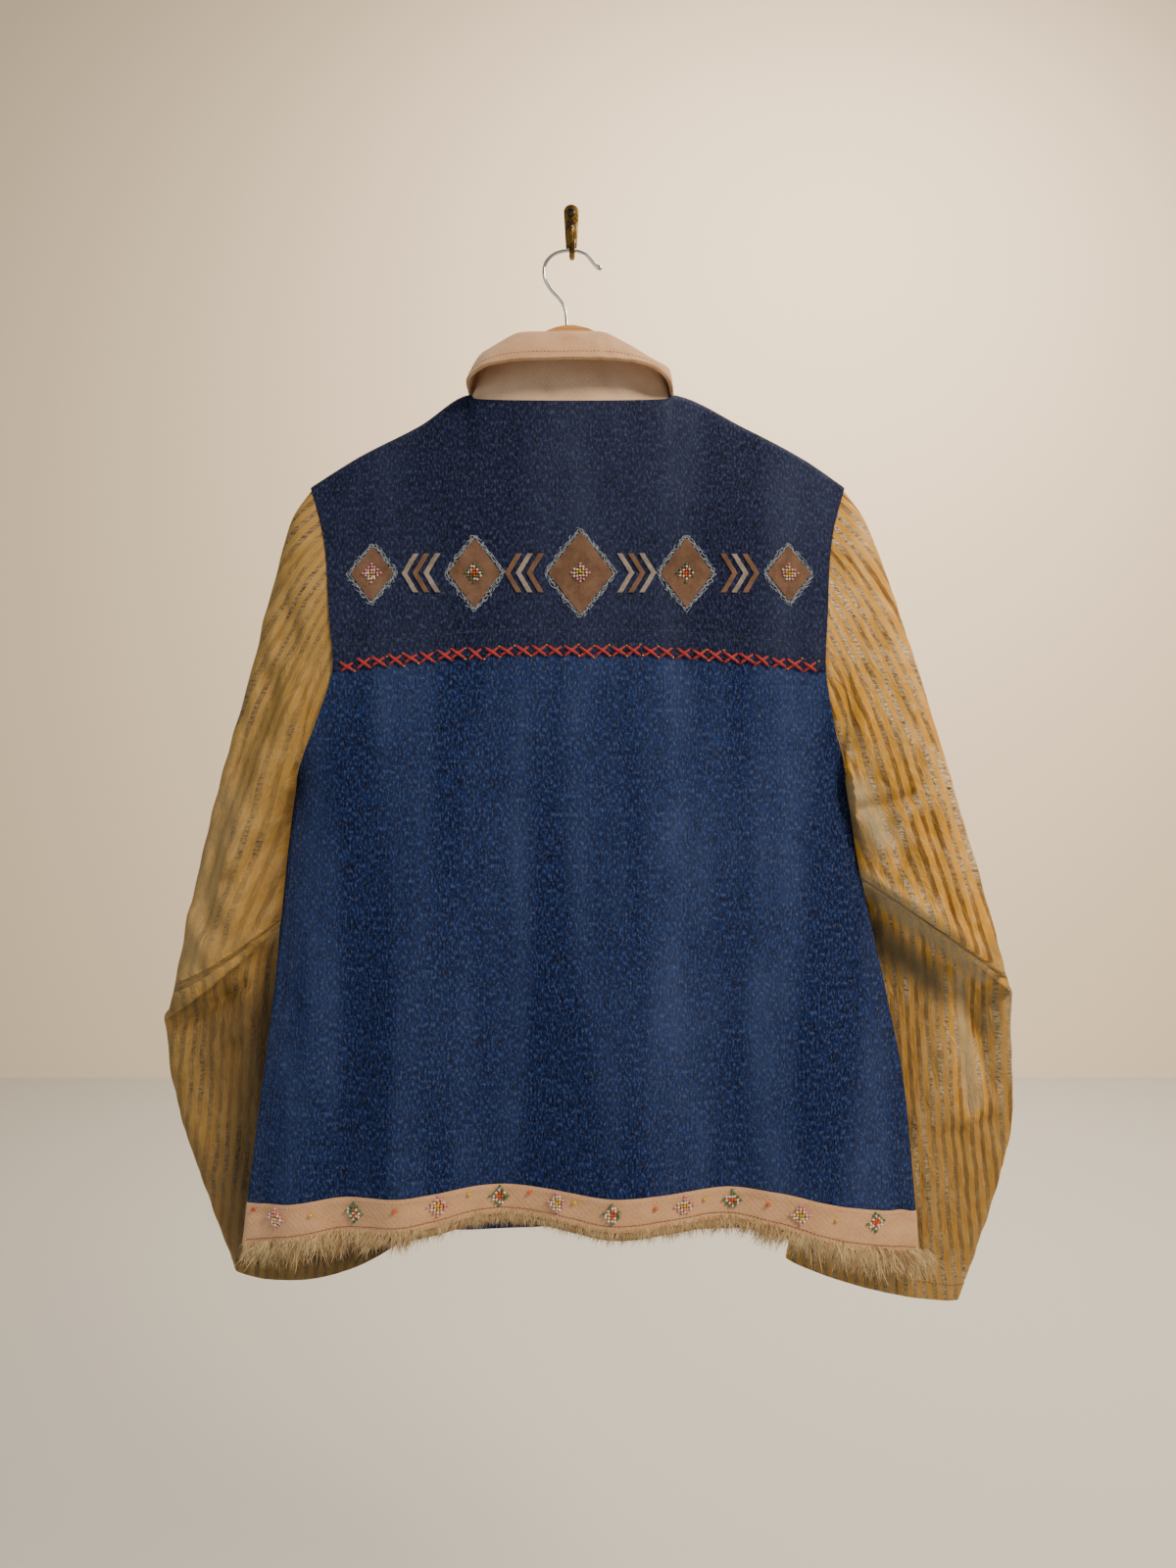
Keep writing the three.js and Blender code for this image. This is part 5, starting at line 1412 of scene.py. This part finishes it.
def hair_locks(over, coat):
    """One layer of the fur: short curled locks over the band's lower edge, or longer ones under it."""
    sizes = trim_sizes()
    rng = np.random.default_rng(41 if over else 42)
    count = sizes.hairs // 2
    low, high = float(edge_x("left", -820)) + 3, float(edge_x("right", -820)) + 9
    x = rng.uniform(low, high, count)
    clump = ripples(x, rng.uniform(0, 8, count), 7, 7, 26)
    z = band_end_z(x) + (rng.uniform(-2.5, 3.5, count) + 1.5 * clump if over else rng.uniform(-3, 1.5, count))
    root = body_points("back", x, np.maximum(z, -834), 0)
    root[:, 1] += rng.uniform(-2.4, -0.4, count) if over else rng.uniform(0.5, 4.5, count)
    length = fur_depth(x) * sizes.hair_length / MM / 24 * rng.uniform(0.6, 1.2, count) * (1 + 0.25 * clump)
    length *= 0.72 if over else 1.12
    tangle = 0.55 * ripples(x, z, 9, 6, 30)
    lean = tangle + rng.normal(0, 0.34 if over else 0.2, count)
    lean += 0.35 * smooth((x - 225) / 40) - 0.3 * smooth((-215 - x) / 40)
    out = rng.normal(-0.3, 0.25, count) if over else rng.normal(0.0, 0.12, count)
    which = rng.integers(0, 3, count)
    parts = []
    for n, bend in enumerate((0.12, 0.34, 0.6) if over else (0.08, 0.2, 0.38)):
        places, tints = [], []
        for k in np.flatnonzero(which == n):
            way = np.array([lean[k], out[k], -1.0])
            side = np.array([rng.normal(), 0.5 * rng.normal(), 0.2])
            places.append((frame_at(way, side, [length[k] * MM] * 3), root[k] * MM))
            dark = rng.random() < (0.1 if over else 0.3) + 0.12 * (clump[k] < -0.4)
            tints.append(1.0 if dark else rng.uniform(0.1 if over else 0.0, 0.8 if over else 0.6))
        parts.append(copies(hair_shape(bend), places, tints))
    return settle(join(parts), "fur_locks_over" if over else "fur_locks_under", coat)


class JACKET_OT_fur(bpy.types.Operator):
    """Fur edging: locks of hair sewn in under the band"""
    bl_idname = "jacket.fur"
    bl_label = "Fur edging"

    def execute(self, context):
        coat = hair("fox-coloured fur", "#bb8f55", "#f5e4b4", "#65543e")
        over, under = hair_locks(True, coat), hair_locks(False, coat)
        # the hide that the hair grows from is a narrow soft strip behind the band's lower edge
        points = strip_points(lambda q: band_end_z(q) + 1.0, lambda q: band_end_z(q) - 7.0, 8)
        points[..., 1] += 2.6
        points = held_off(points, "back", 0.6)
        hide = cloth(points, flat_uv(points), 1.6, bevel=0.5)
        hide = settle(hide, "fur_hide", hair("fur hide", "#8b6a47", "#c9ac82", "#5a4e45"), ["fur_edging"])
        return {"FINISHED"}


def lozenge_outline(x, half_width, half_height):
    """A diamond with slightly rounded, hand-cut corners."""
    soften = 2.2
    corners = np.array([(x, BORDER_Z + half_height), (x + half_width, BORDER_Z), (x, BORDER_Z - half_height),
                        (x - half_width, BORDER_Z)], float)
    outline = []
    for n in range(4):
        here, before, after = corners[n], corners[n - 1], corners[(n + 1) % 4]
        a = here + (before - here) / np.linalg.norm(before - here) * soften
        b = here + (after - here) / np.linalg.norm(after - here) * soften
        outline += [a * (1 - t) ** 2 + 2 * here * t * (1 - t) + b * t ** 2 for t in (0, 0.5, 1)]
    dense = []
    for n, here in enumerate(outline):
        ahead = outline[(n + 1) % len(outline)]
        steps = max(1, int(np.linalg.norm(ahead - here) / 1.5))
        dense += [mix(here, ahead, k / steps) for k in range(steps)]
    return np.array(dense)


SUEDE_THICK, SUEDE_LIFT = 1.0, 1.4


def laid_patch(flat, thick, lift, seed, tube=False):
    """Suede laid over the yoke: flat holds rows of (x, z) of the cut piece."""
    x, z = flat[..., 0], flat[..., 1]
    points = body_points("back", x, z)
    uneven = lift + 0.25 * ripples(x, z, seed, 6, 20)
    points = points + back_normal(x, z) * uneven[..., None]
    return cloth(points, flat_uv(points), thick, tube=tube, bevel=0.2)


def lozenge_rows(outline, seed):
    """Rings of the lozenge from its cut edge to its middle."""
    outline = outline + np.random.default_rng(seed).normal(0, 0.14, outline.shape)
    ring = np.vstack([outline, outline[:1]])
    middle = outline.mean(axis=0)
    return np.array([mix(middle, ring, share) for share in (1, 0.96, 0.86, 0.7, 0.52, 0.34, 0.16, 0.0)])


def chevron_rows(x0, outward, seed):
    """One bent strip of suede, with its point outward."""
    rng = np.random.default_rng(seed)
    b = np.linspace(-1, 1, 25)
    uneven = rng.normal(0, 0.1, 25)
    rows = []
    for edge in np.linspace(-1, 1, 5):
        x = x0 + outward * (CHEVRON_REACH * (1 - np.abs(b)) + edge * CHEVRON_WIDTH * 0.65) + uneven
        rows.append(np.stack([x, BORDER_Z + CHEVRON_HALF * b], -1))
    return np.array(rows)


def chevron_places():
    rows = []
    for left, right in zip(LOZENGES, LOZENGES[1:]):
        middle = (left[0] + left[1] + right[0] - right[1]) / 2
        outward = -1 if middle < 8 else 1
        rows += [(middle - outward * 4.5 + (c - 1) * CHEVRON_PITCH, outward) for c in range(CHEVRONS_A_STACK)]
    return rows


def edge_places(outline, lift, pitch, seed, wander):
    """Places for short threads along an outline on the yoke."""
    rng = np.random.default_rng(seed)
    ring = np.vstack([outline, outline[:1]])
    length = np.concatenate([[0], np.cumsum(np.linalg.norm(np.diff(ring, axis=0), axis=1))])
    at = np.arange(0, length[-1], pitch)
    x, z = np.interp(at, length, ring[:, 0]), np.interp(at, length, ring[:, 1])
    x, z = x + rng.normal(0, wander, len(x)), z + rng.normal(0, wander, len(z))
    spots, normals = body_points("back", x, z), back_normal(x, z)
    ahead = np.stack([np.gradient(x), 0 * x, np.gradient(z)], -1)
    return [(frame_at(way + rng.normal(0, 0.25, 3) * np.linalg.norm(way), np.cross(normal, way)),
             (spot + normal * lift) * MM) for spot, normal, way in zip(spots, normals, ahead)]


def grown(outline, by):
    """The outline moved outwards from its middle."""
    middle = outline.mean(axis=0)
    off = outline - middle
    return middle + off * (1 + by / np.linalg.norm(off, axis=1)[:, None])


class JACKET_OT_border(bpy.types.Operator):
    """Suede border on the yoke: lozenges with frayed threads and bead rosettes, and chevrons"""
    bl_idname = "jacket.border"
    bl_label = "Suede border"

    def execute(self, context):
        brown = soft_suede("brown split suede", "#5d4433", "#7d6150")
        grey = soft_suede("grey split suede", "#77716f", "#9d9894")
        for n, (x, half_width, half_height) in enumerate(LOZENGES):
            rows = lozenge_rows(lozenge_outline(x, half_width, half_height), 60 + n)
            obj = laid_patch(rows, SUEDE_THICK, SUEDE_LIFT, 60 + n, True)
            settle(obj, f"suede_lozenge_{n + 1}", brown, [f"lozenge_{n + 1}"])
        for n, (x0, outward) in enumerate(chevron_places()):
            obj = laid_patch(chevron_rows(x0, outward, 80 + n), SUEDE_THICK, SUEDE_LIFT, 80 + n)
            settle(obj, f"suede_chevron_{n + 1}", brown if n % 2 else grey,
                   [f"chevron_{n + 1}"])
        threads = []
        for n, (x, half_width, half_height) in enumerate(LOZENGES):
            outline = lozenge_outline(x, half_width, half_height)
            threads += edge_places(grown(outline, 1.3), 1.1, 0.9, 90 + n, 0.5)
            threads += edge_places(grown(outline, 3.0), 1.0, 2.0, 95 + n, 0.6)
        settle(copies(stitch_shape(3.4, 0.28), threads), "frayed_threads",
               spun_thread("frayed pale denim threads", "#9fb0c6", 0.8))
        places, tints = [], []
        for n, (x, half_width, half_height) in enumerate(LOZENGES):
            names = ("yellow", "white", "pink") if n % 2 == 0 else ("orange", "white", "green")
            more = rosette(x, BORDER_Z, *names, 2.6, 30 + n)
            places, tints = places + more[0], tints + more[1]
        settle(copies(bead_shape(1.05), places, tints), "border_beads", glass_beads("glass seed beads, border"))
        return {"FINISHED"}


class JACKET_OT_cross_stitches(bpy.types.Operator):
    """Row of red crosses along the yoke seam, with small beads between them"""
    bl_idname = "jacket.cross_stitches"
    bl_label = "Red cross-stitches"

    def execute(self, context):
        pitch = trim_sizes().cross_pitch / MM
        rng = np.random.default_rng(51)
        first, last = float(edge_x("left", YOKE_END_Z)) + 6, float(edge_x("right", YOKE_END_Z)) - 6
        whole = int((last - first) / pitch)
        places, beads, tints = [], [], []
        for n in range(whole):
            x = first + (n + 0.5) * (last - first) / whole + rng.normal(0, 0.5)
            z = float(yoke_z(x)) - 1.0 + rng.normal(0, 0.4)
            for bar, (dx, dz) in enumerate(((5.4, 3.8), (5.4, -3.8))):
                dx, dz = dx * rng.uniform(0.92, 1.1), dz * rng.uniform(0.85, 1.15)
                ends = body_points("back", np.array([x - dx, x + dx]), np.array([z - dz, z + dz]))
                way = ends[1] - ends[0]
                long_share = np.linalg.norm(way) / 12.0
                spot, normal = back_spot(x, z)
                spot = spot + normal * (1.7 + 1.0 * bar)
                places.append((frame_at(way, np.cross(normal, way), (long_share, 1, 1)), spot * MM))
            for side in (-1, 1):
                bx, bz = x + pitch / 2 + rng.normal(0, 0.5), z + side * 4.1 + rng.normal(0, 0.4)
                spot, normal = back_spot(bx, bz)
                beads.append((frame_at((1, 0, 0), np.cross(normal, (1, 0, 0))), (spot + normal * 1.4) * MM))
                tints.append(bead_tint("brass" if rng.random() < 0.55 else "black"))
        thread = spun_thread("red crewel cotton", chosen(trim_sizes().thread_red))
        settle(copies(stitch_shape(12.4, 1.12), places), "red_crosses", thread)
        settle(copies(bead_shape(0.95), beads, tints), "seam_beads", glass_beads("glass seed beads, yoke seam"))
        return {"FINISHED"}


# Bead flowers on the hem band, and the single beads between them: x, z.
PINK_FLOWERS = ((-226, -792), (-100, -773), (-9, -767), (86, -776), (175, -784))
GREEN_FLOWERS = ((-164, -784), (-54, -764), (32, -779), (124, -775), (234, -792))
SINGLE_BEADS = (("red", -246, -782), ("yellow", -198, -787), ("yellow", -77, -764), ("yellow", 4, -772),
                ("yellow", 102, -773), ("yellow", 202, -788), ("orange", -131, -778), ("orange", -30, -764),
                ("orange", 64, -776), ("orange", 151, -777))


class JACKET_OT_hem_beads(bpy.types.Operator):
    """Bead flowers and single beads along the hem band"""
    bl_idname = "jacket.hem_beads"
    bl_label = "Hem beads"

    def execute(self, context):
        places, tints = [], []
        for flowers, names in ((PINK_FLOWERS, ("yellow", "white", "pink")),
                               (GREEN_FLOWERS, ("orange", "white", "green"))):
            for n, (x, z) in enumerate(flowers):
                z = min(max(z, float(band_end_z(x)) + 9), float(denim_end_z(x)) - 9)
                more = rosette(x, z, *names, 2.2, 100 + n)
                places, tints = places + more[0], tints + more[1]
        for name, x, z in SINGLE_BEADS:
            z = min(max(z, float(band_end_z(x)) + 5), float(denim_end_z(x)) - 5)
            spot, normal = back_spot(x, z)
            places.append((frame_at((1, 0, 0), np.cross(normal, (1, 0, 0)), (1.5, 1.5, 1.5)),
                           (spot + normal * 2.2) * MM))
            tints.append(bead_tint(name))
        settle(copies(bead_shape(1.22), places, tints), "hem_bead_flowers", glass_beads("glass seed beads, hem"))
        return {"FINISHED"}


class JACKET_OT_stitching(bpy.types.Operator):
    """Topstitching of yoke, side seams and band"""
    bl_idname = "jacket.stitching"
    bl_label = "Topstitching"

    def execute(self, context):
        pitch = trim_sizes().stitch_pitch / MM
        left, right = float(edge_x("left", YOKE_END_Z)) + 5, float(edge_x("right", YOKE_END_Z)) - 5
        x = np.linspace(left, right, 200)
        denim_line = stitch_places(x, yoke_z(x) + STITCH_RISE, pitch, 0.75, 1)
        z = np.linspace(-470, -782, 160)
        for inset in (6, 12):
            denim_line += stitch_places(edge_x("right", z) - inset, z, pitch, 0.8, 2 + inset)
            denim_line += stitch_places(edge_x("left", z) + inset, z, pitch, 0.8, 3 + inset)
        settle(copies(stitch_shape(pitch * STITCH_SHARE, 0.3), denim_line), "denim_stitches",
               spun_thread("indigo topstitching thread", "#263049"))
        x = np.linspace(float(edge_x("left", -790)) + 4, float(edge_x("right", -790)) - 4, 260)
        band_line = stitch_places(x, denim_end_z(x) - 3.4, pitch, 1.25, 21)
        x = np.linspace(float(edge_x("left", -815)) + 4, float(edge_x("right", -815)) - 4, 260)
        band_line += stitch_places(x, band_end_z(x) + 5.2, pitch, 1.75, 22)
        settle(copies(stitch_shape(pitch * STITCH_SHARE, 0.3), band_line), "band_stitches",
               spun_thread("tan topstitching thread", "#8a6552"))
        return {"FINISHED"}


def ridge_z(x):
    """Top line of the wooden hanger."""
    def line(at):
        at = np.asarray(at, float)
        arch = np.maximum(-90 - 0.0125 * at ** 2, -177)
        return np.where(np.abs(at) < 92, arch, along(SHOULDER, "x", "z", at) - 11.5)
    soft = (line(x - 14) + 2 * line(x) + line(x + 14)) / 4
    return np.where(np.abs(x) < 100, soft, line(x))


class JACKET_OT_hanger(bpy.types.Operator):
    """Bent wooden hanger with its wire hook"""
    bl_idname = "jacket.hanger"
    bl_label = "Hanger"

    def execute(self, context):
        x = np.linspace(-196, 196, 113)
        top = ridge_z(x)
        bottom = top - mix(36, 20, smooth(np.abs(x) / 190))
        outline = np.vstack([np.stack([x, top], -1), np.stack([x, bottom], -1)[::-1]])
        settle(plate(outline, -39, 8, 2.2), "hanger_bow", lacquered_beech("lacquered beech"),
               ["hanger_wood"])
        wire = [(-3, -35, -91.1), (-4, -35, -80), (-8, -35, -71), (-16, -35, -62), (-21, -35, -52), (-20, -35, -41),
                (-12, -35, -33.4), (1, -35, -30.9), (12, -35, -34), (19, -35, -42), (25, -35, -46)]
        path = curve_points(wire, 90)
        radii = np.full(len(path), 1.4)
        radii[-6:] = [1.5, 1.75, 2.0, 2.1, 1.9, 1.2]  # the wire's end is rolled into a bead
        settle(rod(path, radii, sides=18), "hook_wire", bright_chrome("bright nickel-chrome wire"),
               ["hanger_hook"])
        return {"FINISHED"}


def slotted_screw(middle_z, name, material, node):
    """A small domed screw head with a crossed slot, dark in the slot."""
    bpy.ops.object.select_all(action="DESELECT")
    bpy.ops.mesh.primitive_cylinder_add(vertices=32, radius=3.4 * MM, depth=1.2 * MM, location=(0, 0, 0),
                                        end_fill_type="NGON")
    obj = bpy.context.object
    bpy.ops.object.mode_set(mode="EDIT")
    bpy.ops.mesh.select_all(action="DESELECT")
    bpy.ops.mesh.select_mode(type="FACE")
    bpy.ops.object.mode_set(mode="OBJECT")
    for polygon in obj.data.polygons:
        polygon.select = polygon.normal.z > 0.9
    bpy.ops.object.mode_set(mode="EDIT")
    bpy.ops.mesh.inset(thickness=0.7 * MM, depth=0.35 * MM)
    bpy.ops.mesh.inset(thickness=1.0 * MM, depth=0.2 * MM)
    bpy.ops.object.mode_set(mode="OBJECT")
    for turn in (0.5, 0.5 + math.pi / 2):
        bpy.ops.object.select_all(action="DESELECT")
        bpy.ops.mesh.primitive_cube_add(size=1, location=(0, 0, 1.05 * MM), rotation=(0, 0, turn))
        cutter = bpy.context.object
        cutter.scale = (5.0 * MM, 0.75 * MM, 1.3 * MM)
        bpy.context.view_layer.update()
        apply_modifier(obj, "BOOLEAN", operation="DIFFERENCE", object=cutter, solver="EXACT")
        bpy.data.objects.remove(cutter)
    select_only(obj)
    bpy.ops.object.shade_smooth_by_angle(angle=math.radians(35))
    obj.rotation_euler = (math.pi / 2, 0, 0)
    obj.location = (0, -3.9 * MM, middle_z * MM)
    return settle(obj, name, material, [node])


class JACKET_OT_wall_hook(bpy.types.Operator):
    """Small brass wall hook with its two screws"""
    bl_idname = "jacket.wall_hook"
    bl_label = "Wall hook"

    def execute(self, context):
        brass = aged_brass("aged cast brass")
        turn = np.linspace(0, np.pi, 21)
        top = np.stack([6.2 * np.cos(turn), 22 - 6.2 + 6.2 * np.sin(turn)], -1)
        bottom = np.stack([-4.6 * np.cos(turn), -17 + 4.6 - 4.6 * np.sin(turn)], -1)
        outline = np.vstack([top, bottom])
        settle(plate(outline, -3, 3, 0.9), "brass_plate", brass, ["wall_hook_plate"])
        prong = curve_points([(1, -3.0, -11), (1, -9, -12), (1, -18, -24), (1, -26, -32.5), (1, -35, -35),
                              (1, -42, -31), (1, -45, -22), (1, -44.5, -16)], 70)
        share = np.linspace(0, 1, len(prong))
        radii = 2.2 + 1.2 * bump(share, 0.07) + 0.35 * bump(share - 0.97, 0.04)
        radii[-3:] = [2.3, 1.8, 1.0]
        settle(rod(prong, radii, sides=20), "brass_prong", brass, ["wall_hook_prong"])
        steel = dark_steel("blackened steel screws")
        slotted_screw(15, "plate_screw_1", steel, "screw_1")
        slotted_screw(4, "plate_screw_2", steel, "screw_2")
        return {"FINISHED"}


class JACKET_OT_stage(bpy.types.Operator):
    """Floor, backdrop, lights and camera"""
    bl_idname = "jacket.stage"
    bl_label = "Stage"

    def execute(self, context):
        paint = matt_paint("matt off-white emulsion", "#f5e8d2")
        screed = matt_paint("matt pale grey screed", "#cccecd")
        bpy.ops.object.select_all(action="DESELECT")
        bpy.ops.mesh.primitive_plane_add(size=1, location=(0, 0, -1.5))
        floor = bpy.context.object
        floor.scale = (12, 12, 1)
        bpy.ops.object.transform_apply(scale=True)
        floor.name = "studio_floor"
        bpy.ops.object.select_all(action="DESELECT")
        bpy.ops.mesh.primitive_plane_add(size=1, location=(0, 3.2, 1.0), rotation=(math.pi / 2, 0, 0))
        backdrop = bpy.context.object
        backdrop.scale = (12, 6, 1)
        bpy.ops.object.transform_apply(rotation=True, scale=True)
        backdrop.name = "studio_backdrop"
        for obj, coat in ((floor, screed), (backdrop, paint)):
            obj.data.materials.append(coat)
        for name, place, aim, size, power, tone in (
                ("key_light", (1.35, -1.55, 0.95), (0, 0, -0.45), 0.7, 62, "#ffe2c0"),
                ("fill_light", (-1.6, -1.8, -0.3), (0, 0, -0.45), 1.6, 10, "#f3efe8"),
                ("backdrop_light", (0.9, 1.2, 1.7), (0.6, 3.0, -0.5), 2.0, 150, "#ffecd2")):
            bpy.ops.object.light_add(type="AREA", location=place)
            light = bpy.context.object
            light.name = name
            light.data.size = size
            light.data.energy = power
            light.data.color = colour(tone)[:3]
            way = np.array(aim, float) - np.array(place, float)
            light.rotation_euler = (math.atan2(math.hypot(way[0], way[1]), -way[2]), 0,
                                    math.atan2(way[1], way[0]) - math.pi / 2)
        world = bpy.data.worlds.new("studio air")
        world.use_nodes = True
        world.node_tree.nodes["Background"].inputs[0].default_value = colour("#efe6da")
        world.node_tree.nodes["Background"].inputs[1].default_value = 0.34
        bpy.context.scene.world = world
        bpy.ops.object.camera_add(location=(13.8 * MM, -0.975, -0.4574), rotation=(math.pi / 2, 0, 0))
        camera = bpy.context.object
        camera.data.sensor_width = 36
        camera.data.sensor_fit = "AUTO"
        camera.data.lens = 27
        camera.data.dof.use_dof = False
        bpy.context.scene.camera = camera
        return {"FINISHED"}


STEPS = (JACKET_OT_stage, JACKET_OT_back, JACKET_OT_fronts, JACKET_OT_sleeves, JACKET_OT_collar, JACKET_OT_hem_band,
         JACKET_OT_fur, JACKET_OT_border, JACKET_OT_cross_stitches, JACKET_OT_hem_beads, JACKET_OT_stitching,
         JACKET_OT_hanger, JACKET_OT_wall_hook)


class JACKET_PT_sidebar(bpy.types.Panel):
    """Lists the pieces of the jacket, with their sizes and colours"""
    bl_idname = "JACKET_PT_sidebar"
    bl_label = "Jacket on a hanger"
    bl_space_type = "VIEW_3D"
    bl_region_type = "UI"
    bl_category = "Jacket"

    def draw(self, context):
        for sizes in (context.scene.jacket_cloth, context.scene.jacket_trim):
            for key in sizes.__annotations__:
                self.layout.prop(sizes, key)
        for step in STEPS:
            self.layout.operator(step.bl_idname)


CLASSES = (JacketCloth, JacketTrim, *STEPS, JACKET_PT_sidebar)


def register():
    for each in CLASSES:
        bpy.utils.register_class(each)
    bpy.types.Scene.jacket_cloth = bpy.props.PointerProperty(type=JacketCloth)
    bpy.types.Scene.jacket_trim = bpy.props.PointerProperty(type=JacketTrim)


def unregister():
    del bpy.types.Scene.jacket_trim
    del bpy.types.Scene.jacket_cloth
    for each in reversed(CLASSES):
        bpy.utils.unregister_class(each)


def main():
    register()
    for step in STEPS:
        group, name = step.bl_idname.split(".")
        getattr(getattr(bpy.ops, group), name)()


if __name__ == "__main__":
    main()
